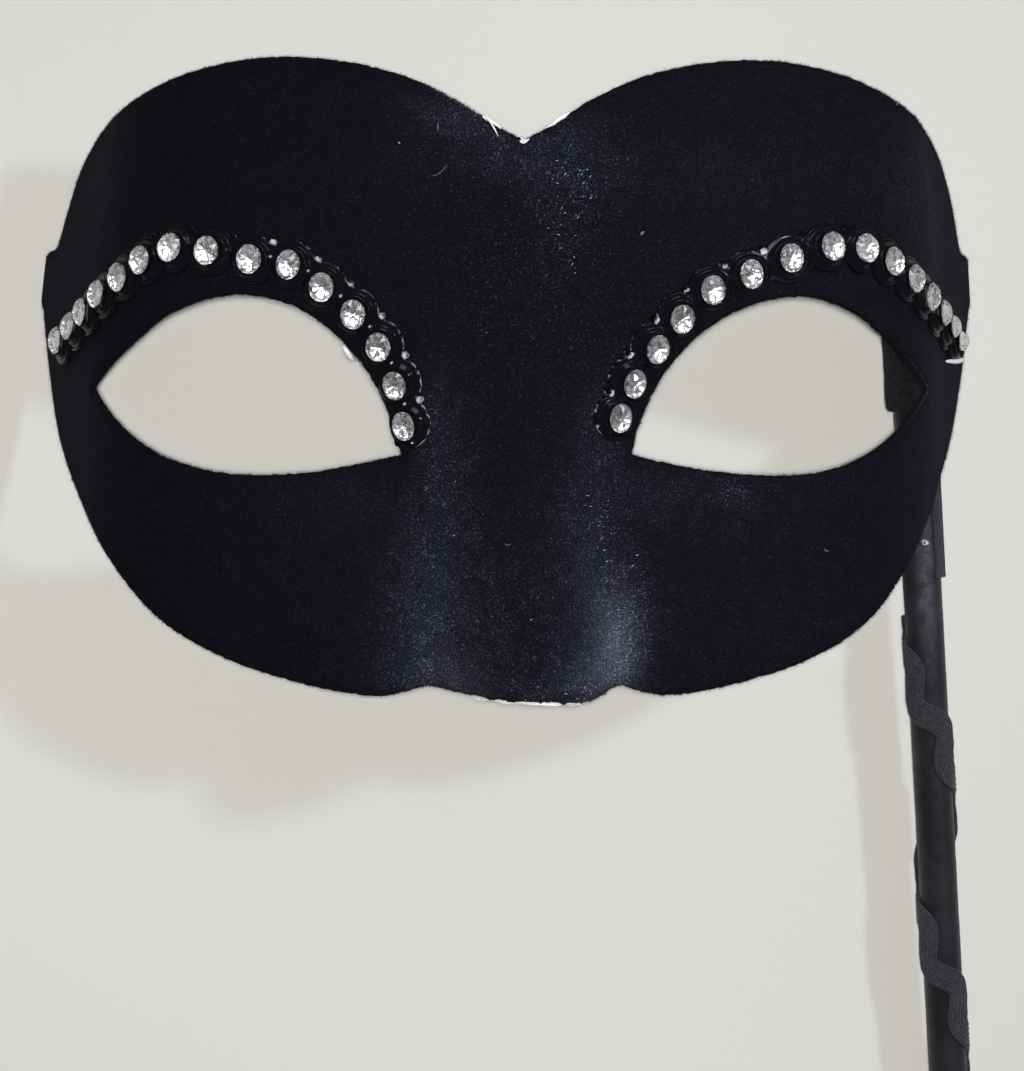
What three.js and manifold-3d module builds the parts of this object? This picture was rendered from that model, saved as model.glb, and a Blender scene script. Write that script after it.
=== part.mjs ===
// Masquerade half mask on a stick, lying face up on the back edges of its side tabs
// Millimetres: +X to the viewer's right, +Y towards the brow, +Z out of the mask's face
// On the shell, u runs round the head from the middle, v runs up, and w runs out through the wall

import * as THREE from 'three';
import Module from 'manifold-3d';
import { mergeVertices } from 'three/addons/utils/BufferGeometryUtils.js';

const wasm = await Module();
wasm.setup();

// Driving sizes
const shell = {
  wall: 1.2,
  halfArc: 108,
  frontArc: 47,
  frontRadius: 150,
  templeRadius: 41,
  sideSlope: THREE.MathUtils.degToRad(65.5),
  bowRadius: 320,
  bowMiddle: 22,
};
const lean = { slope: 0.03, middle: 42, from: 45, to: 95 };
const slab = { width: 230, height: 108, middle: 26, columns: 48, rows: 20 };
const cutter = { below: 1.4, depth: 4, curveSteps: 2 };
const ground = { width: 400, height: 200 };
const nose = { top: 26, low: -22, height: 12, topHalf: 9, lowHalf: 15.5, shift: 2.6 };
const socket = { depth: 7.5, across: 25, up: 14, halfWidth: 10, halfHeight: 12 };
const trim = { last: 14, pitch: 6.6, gap: 0.3, flange: 4, cup: 3.4, waist: 0.8, tip: 1.2, ends: 2, steps: 4 };
const trimHeights = { edge: 0.55, cup: 1.5, ridge: 1.7 };
const seat = { radius: 2.8, floor: 0.75, shoulder: 1.35, top: 3.2, sides: 8 };
const stone = { radius: 2.5, table: 1.3, tip: 1.15, girdle: 2.05, top: 3.1, sides: 8 };
const stick = {
  radius: 3.35,
  length: 300,
  sides: 20,
  top: [68.9, 42.8, 13],
  tilt: THREE.MathUtils.degToRad(3.4),
};
const braid = { width: 4.3, thickness: 0.9, gap: 0.4, pitch: 45.5, crossing: 74.6, wave: 1.4, waves: 4 };
const braidTurns = { from: -0.8, to: 3.95, steps: 88, start: THREE.MathUtils.degToRad(100) };
const sleeve = { inner: 3.65, outer: 4.75, above: 1, length: 22, opening: THREE.MathUtils.degToRad(135) };
const sleeveSteps = 12;
const glue = { radius: 0.8, down: 44, side: 0.9, gap: 0.15, sides: 8, rings: 5 };
const frameMiddle = { x: 3.4, y: -89.6 };

// Points of the right half's outline, from the notch round to the nose
const notch = [0, 63.2];
const browPoints = [[5.4, 66.3], [11.2, 70], [19.9, 74], [31, 76.7], [43, 77.6], [56, 76.3], [68, 73.9],
  [83, 70.2], [91.4, 66.3], [96, 62], [99, 56.8], [101.6, 51.6]];
const tabPoints = [[103, 50.2], [112, 49.4], [112, 44]];
const cheekPoints = [[107, 39.5], [101, 28], [95, 17.5], [88.3, 10], [81.4, 3.6], [72.4, -5], [61.6, -14],
  [49.4, -20], [36, -24], [25, -25.8], [19.5, -25.1], [15.6, -24.1]];
const nosePoints = [[12.6, -25.6], [9.2, -26.5], [3, -26.3], [-4, -26], [-10.5, -25]];

// Points of the right eye hole, from the nose out along the brow and back along the cheek
const eyeInner = [19.6, 13.1];
const eyeOuter = [78, 24.7];
const eyeBrow = [[21.1, 18.5], [24.8, 26.2], [30.5, 32.8], [38.1, 37.3], [47.4, 38.8], [57.2, 36.4],
  [65.7, 31.9]];
const eyeCheek = [[69, 18.2], [59, 12.9], [49.3, 10.2], [40.3, 9.8], [31.8, 10.7]];
const eyeShift = { left: 0.9, right: -1.1, from: 24, to: 62 };

// The stones of each trim strip, from the nose out to the temple
const trimPoints = {
  left: [[-19.1, 18], [-20.6, 24.6], [-23.4, 30.6], [-27.3, 35.6], [-32.3, 39.7], [-37.5, 43.2], [-44, 44.3],
    [-51, 45.8], [-57.7, 46.5], [-63.5, 44.9], [-68.7, 42.5], [-74.4, 39.8], [-79.8, 37.4], [-85.7, 35.2],
    [-91.9, 33.3]],
  right: [[15.3, 19.2], [17.6, 24.8], [21.3, 30.3], [25.5, 35.2], [30.4, 39.3], [36.6, 42], [43.5, 44.7],
    [50.8, 46.9], [57.4, 46.9], [63.2, 45.2], [68.8, 42.7], [74.2, 40.2], [79.8, 37.8], [86.6, 35.9],
    [92.4, 33.8]],
};

// Materials
const flock = new THREE.MeshStandardMaterial({ color: 0x0b0b0f, roughness: 0.95, metalness: 0 });
const glossBlack = new THREE.MeshStandardMaterial({ color: 0x050506, roughness: 0.15, metalness: 0 });
const crystal = new THREE.MeshStandardMaterial({ color: 0xe6e9ee, roughness: 0.03, metalness: 0.6 });
const satin = new THREE.MeshStandardMaterial({ color: 0x17181c, roughness: 0.5, metalness: 0 });
const woven = new THREE.MeshStandardMaterial({ color: 0x0d0d0f, roughness: 0.8, metalness: 0 });
const felt = new THREE.MeshStandardMaterial({ color: 0x1a1512, roughness: 0.95, metalness: 0 });
const hotGlue = new THREE.MeshStandardMaterial({ color: 0xe8e6df, roughness: 0.2, metalness: 0 });

// Solids in and out of the boolean library
function toSolid(geometry) {
  const bare = geometry.clone();
  bare.deleteAttribute('normal');
  bare.deleteAttribute('uv');
  const merged = mergeVertices(bare, 1e-4);
  return new wasm.Manifold(new wasm.Mesh({
    numProp: 3,
    vertProperties: new Float32Array(merged.attributes.position.array),
    triVerts: new Uint32Array(merged.index.array),
  }));
}

function toGeometry(solid) {
  const mesh = solid.getMesh();
  const geometry = new THREE.BufferGeometry();
  geometry.setAttribute('position', new THREE.BufferAttribute(mesh.vertProperties, 3));
  geometry.setIndex(new THREE.BufferAttribute(mesh.triVerts, 1));
  geometry.computeVertexNormals();
  return geometry;
}

// The shell's surface
const { clamp, smoothstep } = THREE.MathUtils;
const frontAngle = shell.frontArc / shell.frontRadius;
const templeArc = shell.templeRadius * (shell.sideSlope - frontAngle);

function section(u) {
  const along = Math.abs(u);
  const front = Math.min(along, shell.frontArc) / shell.frontRadius;
  const temple = frontAngle + clamp(along - shell.frontArc, 0, templeArc) / shell.templeRadius;
  const straight = Math.max(along - shell.frontArc - templeArc, 0);
  const x = shell.frontRadius * Math.sin(front)
    + shell.templeRadius * (Math.sin(temple) - Math.sin(frontAngle))
    + straight * Math.cos(shell.sideSlope);
  const drop = shell.frontRadius * (1 - Math.cos(front))
    + shell.templeRadius * (Math.cos(frontAngle) - Math.cos(temple))
    + straight * Math.sin(shell.sideSlope);
  return { x: Math.sign(u) * x, drop, angle: Math.sign(u) * (along < shell.frontArc ? front : temple) };
}
const shellHeight = section(shell.halfArc).drop;

function relief(u, v) {
  const bow = (v - shell.bowMiddle) ** 2 / (2 * shell.bowRadius);
  const down = clamp((nose.top - v) / (nose.top - nose.low), 0, 1);
  const ridge = nose.shift * down;
  const half = THREE.MathUtils.lerp(nose.topHalf, nose.lowHalf, down);
  const across = u < ridge ? (ridge - u) / (half + ridge) : (u - ridge) / (half - ridge);
  const bump = nose.height * smoothstep(down, 0, 1) * clamp(1 - across ** 2, 0, 1) ** 2;
  const sideways = (Math.abs(u) - socket.across) / socket.halfWidth;
  const upward = (v - socket.up) / socket.halfHeight;
  const hollow = socket.depth * Math.exp(-(sideways ** 2 + upward ** 2) / 2);
  return bump - bow - hollow;
}

function place(u, v, w) {
  const { x, drop, angle } = section(u);
  const out = relief(u, v) + w;
  const sideways = lean.slope * (v - lean.middle) * smoothstep(Math.abs(u), lean.from, lean.to);
  const height = shellHeight - drop + out * Math.cos(angle);
  return new THREE.Vector3(x + out * Math.sin(angle) + sideways, v, height);
}

function outward(u, v) {
  const step = 0.05;
  const across = place(u + step, v, 0).sub(place(u - step, v, 0));
  const up = place(u, v + step, 0).sub(place(u, v - step, 0));
  return across.cross(up).normalize();
}

function warp(geometry, move) {
  const position = geometry.attributes.position;
  for (let i = 0; i < position.count; i += 1) {
    const moved = move(position.getX(i), position.getY(i), position.getZ(i));
    position.setXYZ(i, moved.x, moved.y, moved.z);
  }
  geometry.computeVertexNormals();
  return geometry;
}

// Mask shell
const toVector = ([u, v]) => new THREE.Vector2(u, v);
const mirrored = (points) => points.map(([u, v]) => [-u, v]).reverse();

function maskOutline() {
  const outline = new THREE.Shape();
  outline.moveTo(...notch);
  outline.splineThru(browPoints.map(toVector));
  tabPoints.forEach((point) => outline.lineTo(...point));
  outline.splineThru([...cheekPoints, ...nosePoints, ...mirrored(cheekPoints)].map(toVector));
  mirrored(tabPoints).forEach((point) => outline.lineTo(...point));
  outline.splineThru([...mirrored(browPoints), notch].map(toVector));
  return outline;
}

function eyeHole(side) {
  const sign = side === 'left' ? -1 : 1;
  const shifted = ([u, v]) => {
    const share = Math.abs(smoothstep(u, eyeShift.from, eyeShift.to) * 2 - 1);
    return new THREE.Vector2(sign * (u + eyeShift[side] * share), v);
  };
  const hole = new THREE.Shape();
  const start = shifted(eyeInner);
  hole.moveTo(start.x, start.y);
  hole.splineThru([...eyeBrow, eyeOuter].map(shifted));
  hole.splineThru([...eyeCheek, eyeInner].map(shifted));
  return hole;
}

function prism(shape) {
  const options = { depth: cutter.depth, bevelEnabled: false, curveSegments: cutter.curveSteps };
  const geometry = new THREE.ExtrudeGeometry(shape, options);
  return toSolid(geometry.translate(0, 0, -cutter.below));
}

function maskShell() {
  const flat = new THREE.BoxGeometry(slab.width, slab.height, shell.wall, slab.columns, slab.rows, 1);
  flat.translate(0, slab.middle, shell.wall / 2);
  let sheet = toSolid(flat).intersect(prism(maskOutline()));
  for (const side of ['left', 'right']) {
    sheet = sheet.subtract(prism(eyeHole(side)));
  }
  const curved = warp(toGeometry(sheet), place);
  const above = new THREE.BoxGeometry(ground.width, ground.width, ground.height);
  above.translate(0, 0, ground.height / 2);
  return toGeometry(toSolid(curved).intersect(toSolid(above)));
}

// Trim strips, their seats and the stones, with k the place along a strip in stones
function trimLine(side) {
  const points = trimPoints[side].map(([u, v]) => new THREE.Vector3(u, v, 0));
  const curve = new THREE.CatmullRomCurve3(points);
  return (k) => {
    const share = clamp(k / trim.last, 0, 1);
    const tangent = curve.getTangent(share);
    const middle = curve.getPoint(share).addScaledVector(tangent, (k - share * trim.last) * trim.pitch);
    return { middle, tangent };
  };
}

function onTrim(line, k, t, w) {
  const { middle, tangent } = line(k);
  const u = middle.x - t * tangent.y;
  const v = middle.y + t * tangent.x;
  return place(u, v, shell.wall).addScaledVector(outward(u, v), w);
}

function scallop(offset, radius, least) {
  return Math.max(least, Math.sqrt(Math.max(radius ** 2 - offset ** 2, 0)));
}

function trimProfile(k) {
  const offset = (k - clamp(Math.round(k), 0, trim.last)) * trim.pitch;
  const cup = scallop(offset, trim.cup, trim.waist);
  const edge = scallop(offset, trim.flange, trim.tip);
  const { edge: low, cup: middle, ridge } = trimHeights;
  return [[-edge, low], [-cup, middle], [0, ridge], [cup, middle], [edge, low]];
}

function stonePlace(line, index) {
  const { middle } = line(index);
  const normal = outward(middle.x, middle.y);
  const turn = new THREE.Quaternion().setFromUnitVectors(new THREE.Vector3(0, 1, 0), normal);
  return { position: place(middle.x, middle.y, shell.wall), turn };
}

function lathe(points, sides) {
  return new THREE.LatheGeometry(points.map(([r, h]) => new THREE.Vector2(r, h)), sides);
}

function placed(geometry, position, turn) {
  const matrix = new THREE.Matrix4().compose(position, turn, new THREE.Vector3(1, 1, 1));
  return geometry.clone().applyMatrix4(matrix);
}

function trimBand(side) {
  const line = trimLine(side);
  const columns = trim.last * trim.steps + 2 * trim.ends;
  const across = trimProfile(0).length - 1;
  const strip = new THREE.BoxGeometry(columns, across, 1, columns, across, 1);
  warp(strip, (x, y, z) => {
    const k = (x + columns / 2 - trim.ends) / trim.steps;
    const [t, height] = trimProfile(k)[Math.round(y + across / 2)];
    return onTrim(line, k, t, z > 0 ? trim.gap + height : trim.gap);
  });
  let band = toSolid(strip);
  for (let i = 0; i <= trim.last; i += 1) {
    const { position, turn } = stonePlace(line, i);
    band = band.subtract(toSolid(placed(seatGeometry, position, turn)));
  }
  return toGeometry(band);
}

const seatGeometry = lathe(
  [[0, seat.floor], [seat.radius, seat.shoulder], [seat.radius, seat.top], [0, seat.top]],
  seat.sides,
);

const stoneGeometry = lathe(
  [[0, stone.tip], [stone.radius, stone.girdle], [stone.table, stone.top], [0, stone.top]],
  stone.sides,
);

// Stick, braid, sleeve and glue, drawn along the stick's own -Y from its top
function stickGroup() {
  const group = new THREE.Group();
  const sink = Math.asin((stick.top[2] - stick.radius) / (stick.length * Math.cos(stick.tilt)));
  group.position.set(...stick.top);
  group.rotation.set(sink, 0, stick.tilt);
  const rod = new THREE.CylinderGeometry(stick.radius, stick.radius, stick.length, stick.sides);
  rod.translate(0, -stick.length / 2, 0);
  group.add(named('stick', rod, satin));
  group.add(named('stick_braid', stickBraid(), woven));
  group.add(named('stick_sleeve', stickSleeve(), felt));
  const bead = new THREE.SphereGeometry(glue.radius, glue.sides, glue.rings);
  const away = Math.sqrt((stick.radius + glue.radius + glue.gap) ** 2 - glue.side ** 2);
  bead.translate(glue.side, -glue.down, away);
  group.add(named('glue_bead', bead, hotGlue));
  return group;
}

// The braid's middle line on the unrolled stick, as ways to the right and down
function braidLine(turns) {
  const round = 2 * Math.PI * stick.radius;
  const length = Math.hypot(round, braid.pitch);
  const aside = braid.wave * Math.sin(2 * Math.PI * braid.waves * turns);
  const right = round * turns + aside * braid.pitch / length;
  const down = braid.crossing + braid.pitch * turns - aside * round / length;
  return new THREE.Vector2(right, down);
}

function stickBraid() {
  const step = 0.002;
  const strip = new THREE.BoxGeometry(1, 1, 1, braidTurns.steps, 2, 1);
  return warp(strip, (x, y, z) => {
    const turns = THREE.MathUtils.lerp(braidTurns.from, braidTurns.to, x + 0.5);
    const along = braidLine(turns + step).sub(braidLine(turns - step)).normalize();
    const middle = braidLine(turns);
    const angle = braidTurns.start - (middle.x + y * braid.width * along.y) / stick.radius;
    const down = middle.y - y * braid.width * along.x;
    const radius = stick.radius + braid.gap + (z > 0 ? braid.thickness : 0);
    return new THREE.Vector3(radius * Math.cos(angle), -down, radius * Math.sin(angle));
  });
}

function stickSleeve() {
  const wallward = Math.PI / 2 - shell.sideSlope;
  const from = wallward + sleeve.opening / 2;
  const to = wallward - sleeve.opening / 2 + 2 * Math.PI;
  const cut = new THREE.Shape();
  cut.absarc(0, 0, sleeve.outer, from, to, false);
  cut.absarc(0, 0, sleeve.inner, to, from, true);
  const depth = sleeve.length + sleeve.above;
  const tube = new THREE.ExtrudeGeometry(cut, { depth, bevelEnabled: false, curveSegments: sleeveSteps });
  tube.rotateX(Math.PI / 2);
  tube.translate(0, sleeve.above, 0);
  return tube;
}

// The model
function named(name, geometry, material) {
  const mesh = new THREE.Mesh(geometry, material);
  mesh.name = name;
  return mesh;
}

const model = new THREE.Group();
model.position.set(-frameMiddle.x, -frameMiddle.y, 0);
model.add(named('mask_shell', maskShell(), flock));
model.add(stickGroup());
for (const side of ['left', 'right']) {
  model.add(named(`trim_band_${side}`, trimBand(side), glossBlack));
  const line = trimLine(side);
  for (let i = 0; i <= trim.last; i += 1) {
    const number = String(i + 1).padStart(2, '0');
    const mesh = named(`rhinestone_${side}_${number}`, stoneGeometry.clone(), crystal);
    const { position, turn } = stonePlace(line, i);
    mesh.position.copy(position);
    mesh.quaternion.copy(turn);
    model.add(mesh);
  }
}

export default model;
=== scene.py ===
import math

import bmesh
import bpy
import numpy as np
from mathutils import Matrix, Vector, noise
from mathutils.geometry import delaunay_2d_cdt


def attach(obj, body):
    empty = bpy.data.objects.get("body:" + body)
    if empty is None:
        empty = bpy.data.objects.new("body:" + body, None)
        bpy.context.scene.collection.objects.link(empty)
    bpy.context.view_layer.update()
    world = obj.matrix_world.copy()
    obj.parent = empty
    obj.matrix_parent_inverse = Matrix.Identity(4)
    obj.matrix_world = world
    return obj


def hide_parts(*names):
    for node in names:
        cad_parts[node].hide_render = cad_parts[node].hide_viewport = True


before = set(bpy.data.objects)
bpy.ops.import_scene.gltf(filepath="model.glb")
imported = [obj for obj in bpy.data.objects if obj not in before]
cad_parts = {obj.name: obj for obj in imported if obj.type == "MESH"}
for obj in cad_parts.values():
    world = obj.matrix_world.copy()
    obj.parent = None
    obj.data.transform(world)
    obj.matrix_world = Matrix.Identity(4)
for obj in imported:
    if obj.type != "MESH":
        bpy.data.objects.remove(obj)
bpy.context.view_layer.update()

# Masquerade half mask on a stick. Sizes are in millimetres in the mask's own frame, whose X is 0 at the
# brow notch and Y is 0 at the picture's middle, and toFrame moves them to the row frame in metres.
mm = 0.001
maskInFrame = np.array([-3.4, 89.6, 0.0])


def toFrame(points):
    return (np.asarray(points, float) + maskInFrame) * mm


camera = {"target": (-2.9, 89.6, 0.0), "turn": math.radians(2.6), "distance": 515.5, "lens": 97.34}
white = (1.0, 1.0, 1.0)
keyLight = {"towards": (0.78, 0.35, 1.0), "distance": 1500, "size": 130, "power": 4.7,
            "tint": (0.96, 0.99, 1.12)}
lensLight = {"distance": 560, "size": 20, "power": 2.37, "tint": (1.0, 0.99, 0.95)}
browLight = {"towards": (0.1, 0.76, 0.64), "distance": 700, "size": 330, "power": 2.0, "tint": white}
stoneLight = {"towards": (-0.15, 0.72, 0.66), "distance": 900, "size": 1300, "power": 13.5, "tint": white}
sillLight = {"towards": (0.0, -0.25, 0.97), "distance": 1000, "size": 1900, "power": 2.2, "tint": white}
roomLight = {"overhead": 0.05, "horizon": 0.10, "rise": (0.15, 0.95), "tint": (1.0, 0.992, 0.975),
             "window": (0.2, 0.74, 0.64), "windowGlow": 0.2, "windowEdge": (0.80, 0.97),
             "middle": (0, 90, 20)}


def linked(name, data):
    thing = bpy.data.objects.new(name, data)
    bpy.context.scene.collection.objects.link(thing)
    return thing


def lensward():
    # the way from the camera's target to its lens
    return Vector((-math.sin(camera["turn"]), 0, math.cos(camera["turn"])))


def setCamera():
    data = bpy.data.cameras.new("photoCamera")
    data.lens = camera["lens"]
    data.sensor_width = 36
    data.clip_end = 20
    data.dof.use_dof = False
    eye = linked("photoCamera", data)
    eye.location = (Vector(camera["target"]) + lensward() * camera["distance"]) * mm
    eye.rotation_euler = (0, -camera["turn"], 0)
    bpy.context.scene.camera = eye


def addLamp(name, place, aim, lamp):
    data = bpy.data.lights.new(name, "AREA")
    data.shape = "DISK"
    data.size = lamp["size"] * mm
    data.energy = lamp["power"]
    data.color = lamp["tint"]
    stand = linked(name, data)
    stand.location = Vector(place) * mm
    stand.rotation_euler = (Vector(aim) * mm - stand.location).to_track_quat("-Z", "Y").to_euler()
    return stand


class Wire:
    # one output socket, so that maths in a node tree reads as plain sums
    def __init__(self, tree, socket):
        self.tree = tree
        self.socket = socket

    def maths(self, operation, *values):
        return addNode(self.tree, "ShaderNodeMath", {"operation": operation}, values)

    def other(self, name):
        return Wire(self.tree, self.socket.node.outputs[name])

    def __add__(self, value):
        return self.maths("ADD", self, value)

    def __radd__(self, value):
        return self.maths("ADD", value, self)

    def __sub__(self, value):
        return self.maths("SUBTRACT", self, value)

    def __rsub__(self, value):
        return self.maths("SUBTRACT", value, self)

    def __mul__(self, value):
        return self.maths("MULTIPLY", self, value)

    def __rmul__(self, value):
        return self.maths("MULTIPLY", value, self)

    def ramp(self, low, high, start=0.0, end=1.0):
        settings = {"interpolation_type": "SMOOTHSTEP"}
        return addNode(self.tree, "ShaderNodeMapRange", settings, [self, low, high, start, end])


def addNode(tree, kind, settings=None, sockets=(), output=0):
    node = tree.nodes.new(kind)
    for name, value in (settings or {}).items():
        setattr(node, name, value)
    pairs = sockets.items() if isinstance(sockets, dict) else enumerate(sockets)
    for key, value in pairs:
        if isinstance(value, Wire):
            tree.links.new(value.socket, node.inputs[key])
        else:
            node.inputs[key].default_value = value
    return Wire(tree, node.outputs[output])


def rgb(red, green, blue):
    return (red, green, blue, 1.0)


# each finish's darkest and brightest colour, or its only one
tones = {
    "flock": rgb(0.0033, 0.0036, 0.0058), "flockLit": rgb(0.19, 0.20, 0.285),
    "barePlastic": rgb(0.90, 0.90, 0.89), "white": rgb(0.90, 0.91, 0.92), "flockGlint": rgb(0.62, 0.66, 0.84),
    "pile": rgb(0.0028, 0.0031, 0.0058), "pileLit": rgb(0.19, 0.20, 0.29),
    "inside": rgb(0.010, 0.010, 0.012), "insideLit": rgb(0.020, 0.020, 0.023),
    "lint": rgb(0.06, 0.066, 0.085), "lintLit": rgb(0.20, 0.21, 0.25),
    "gloss": rgb(0.0050, 0.0053, 0.0074), "dust": rgb(0.03, 0.03, 0.035), "paintedGlint": rgb(0.60, 0.62, 0.70),
    "crystal": rgb(0.985, 0.99, 1.0), "foil": rgb(0.93, 0.93, 0.94), "foilPaintedDark": rgb(0.78, 0.79, 0.82),
    "satin": rgb(0.0105, 0.0088, 0.0115), "satinLit": rgb(0.0205, 0.0175, 0.0230),
    "gleam": rgb(0.105, 0.112, 0.140),
    "yarn": rgb(0.014, 0.0138, 0.018), "yarnLit": rgb(0.100, 0.100, 0.125),
    "felt": rgb(0.0070, 0.0062, 0.0076), "feltLit": rgb(0.0280, 0.0250, 0.0305),
    "glue": rgb(0.16, 0.16, 0.18), "glueClear": rgb(0.95, 0.95, 0.95),
    "floor": rgb(0.735, 0.725, 0.695), "floorLit": rgb(0.765, 0.755, 0.728),
}


def newFinish(recipe):
    # a material named after its recipe, which gives the sockets of its one shader
    finish = bpy.data.materials.new(recipe.__name__)
    finish.use_nodes = True
    tree = finish.node_tree
    tree.nodes.clear()
    surface = addNode(tree, "ShaderNodeBsdfPrincipled", None, recipe(tree))
    end = tree.nodes.new("ShaderNodeOutputMaterial")
    tree.links.new(surface.socket, end.inputs["Surface"])
    return finish


def objectPlace(tree):
    return addNode(tree, "ShaderNodeTexCoord", output="Object")


def painted(tree, name):
    return addNode(tree, "ShaderNodeAttribute", {"attribute_name": name}, output="Fac")


def grain(tree, perMetre, detail=2.0, rough=0.5, place=None):
    sockets = {"Vector": place or objectPlace(tree), "Scale": perMetre, "Detail": detail, "Roughness": rough}
    return addNode(tree, "ShaderNodeTexNoise", None, sockets)


def cells(tree, perMetre, output):
    sockets = {"Vector": objectPlace(tree), "Scale": perMetre}
    return addNode(tree, "ShaderNodeTexVoronoi", None, sockets, output)


def mixColour(tree, factor, first, second):
    # between two colours, each a name among the tones or another mix
    first, second = (tones[each] if isinstance(each, str) else each for each in (first, second))
    settings = {"data_type": "RGBA", "clamp_factor": True}
    return addNode(tree, "ShaderNodeMix", settings, {0: factor, 6: first, 7: second}, 2)


def bumped(tree, height, distance, strength):
    sockets = {"Height": height, "Distance": distance, "Strength": strength}
    return addNode(tree, "ShaderNodeBump", None, sockets)


def sheen(weight, rough, tint):
    return {"Sheen Weight": weight, "Sheen Roughness": rough, "Sheen Tint": tint}


def blackFlock(tree):
    # random specks and brighter flecks, partly the flock's own grain and partly painted glints of its fibres,
    # and a soft haze of painted sheen, all stronger where the sheen is painted, and bare white plastic
    paintedSheen, core, flockGlint = (painted(tree, name) for name in ("paintedSheen", "core", "flockGlint"))
    fine = grain(tree, 3300, 3.0, 0.62)
    patch = grain(tree, 330, 4.0, 0.6)
    dots = cells(tree, 1300, "Distance")
    speck = fine.ramp(0.55, 0.70) * patch.ramp(0.25, 0.75, 0.2, 1.6)
    fleck = dots.ramp(0.30, 0.08) * dots.other("Color").ramp(0.60, 0.85)
    # painted sheen: how strongly the flock is painted lighter, and below it the haze that the painted sheen
    # adds
    sheenAmount = paintedSheen * paintedSheen.ramp(0.05, 0.25)
    light = speck * (0.045 + sheenAmount * 0.85 + flockGlint * 0.3) + fleck * (0.055 + sheenAmount * 0.8 + flockGlint * 0.5)
    flat = (1 - paintedSheen.ramp(0.1, 0.4)) * 0.004
    sheenHaze = paintedSheen * patch.ramp(0.2, 0.8, 0.06, 0.13) + paintedSheen * paintedSheen * 0.13 + flat
    light = light + sheenHaze * (0.35 + fine.ramp(0.3, 0.7) * 1.3)
    pile = mixColour(tree, light, "flock", "flockLit")
    bare = (core + grain(tree, 1500, 3.0, 0.65) * 0.5).ramp(0.78, 0.84)
    height = fine * 0.6 + grain(tree, 1500) * 0.8
    return {
        "Base Color": mixColour(tree, bare, pile, "barePlastic"), "Roughness": 0.78,
        "Specular IOR Level": 0.03, "Normal": bumped(tree, height, 0.00012, 0.9),
        **sheen(0.015, 0.45, rgb(0.55, 0.65, 1.0)),
    }


def flockPile(tree):
    # the pile fibres' random tone, painted lighter where the sheen is painted
    light = painted(tree, "tone").ramp(0.5, 1.0) * (0.03 + painted(tree, "paintedSheen") * 0.7)
    colour = mixColour(tree, light, "pile", "pileLit")
    return {"Base Color": colour, "Roughness": 0.7, "Specular IOR Level": 0.04}


def mattInside(tree):
    fine, broad = grain(tree, 1600, 3.0), grain(tree, 90, 3.0)
    colour = mixColour(tree, broad.ramp(0.35, 0.75), "inside", "insideLit")
    return {
        "Base Color": colour, "Roughness": 0.5 + fine * 0.2, "Specular IOR Level": 0.35,
        "Normal": bumped(tree, fine + broad * 2.0, 0.00006, 0.7),
    }


def glossTrim(tree):
    # black gloss with fine dust, and painted highlights: broken white glints where the strip's glint is
    # painted
    fine = grain(tree, 700, 3.0)
    dust = cells(tree, 1900, "Color").ramp(0.9, 0.95)
    dusty = mixColour(tree, dust * 0.25, "gloss", "dust")
    glint = painted(tree, "glint")
    glintBreakup = grain(tree, 1300, 3.0, 0.6)
    paintedGlint = (glint * 0.9 + glintBreakup * 1.3).ramp(1.04, 1.2) * glint.ramp(0.35, 0.9, 0.3, 1.0)
    return {
        "Base Color": mixColour(tree, paintedGlint, dusty, "paintedGlint"),
        "Roughness": 0.07 + fine * 0.06 + dust * 0.3, "Specular IOR Level": 0.07, "Coat Weight": 0.05,
        "Coat Roughness": 0.03, "Normal": bumped(tree, fine, 0.00004, 0.5),
    }


def clearCrystal(tree):
    return {"Base Color": tones["crystal"], "Roughness": 0.0, "IOR": 1.56, "Transmission Weight": 1.0}


def silverFoil(tree):
    # painted shade: darker patches by noise stand in for the stones' dark facets, and the same noise makes
    # the foil rougher there
    paintedTone = grain(tree, 900)
    colour = mixColour(tree, paintedTone.ramp(0.35, 0.7), "foil", "foilPaintedDark")
    return {
        "Base Color": colour, "Metallic": 1.0, "Roughness": 0.08 + paintedTone * 0.14,
        "Normal": bumped(tree, grain(tree, 1100, 1.0), 0.00035, 0.8),
    }


def satinCover(tree):
    # woven black threads, with a mottled gleam where it is painted
    drawnOut = {"Vector": objectPlace(tree), "Scale": (1.0, 0.12, 1.0)}
    threads = grain(tree, 4200, place=addNode(tree, "ShaderNodeMapping", None, drawnOut))
    weft = grain(tree, 3400, 1.0)
    blotch = grain(tree, 130, 3.0)
    mottle = grain(tree, 360, 3.0, 0.6).ramp(0.35, 0.65)
    lumps = grain(tree, 1000, 2.0, 0.6).ramp(0.5, 0.68)
    gleam = painted(tree, "gleam") * (0.2 + weft.ramp(0.3, 0.7) * 0.45 + mottle * 0.65 + lumps * 0.45)
    plain = mixColour(tree, blotch.ramp(0.35, 0.7), "satin", "satinLit")
    return {
        "Base Color": mixColour(tree, gleam, plain, "gleam"), "Roughness": 0.42 + weft * 0.2,
        "Specular IOR Level": 0.3, "Normal": bumped(tree, threads + weft * 0.7, 0.00009, 0.8),
        **sheen(0.08, 0.4, rgb(0.8, 0.85, 1.0)),
    }


def braidYarn(tree):
    fibre = grain(tree, 5200)
    light = fibre.ramp(0.4, 0.75) * (0.4 + grain(tree, 420))
    return {
        "Base Color": mixColour(tree, light, "yarn", "yarnLit"),
        "Roughness": 0.75, "Specular IOR Level": 0.25, "Normal": bumped(tree, fibre, 0.00012, 0.8),
        **sheen(0.15, 0.5, rgb(0.9, 0.9, 1.0)),
    }


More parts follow.
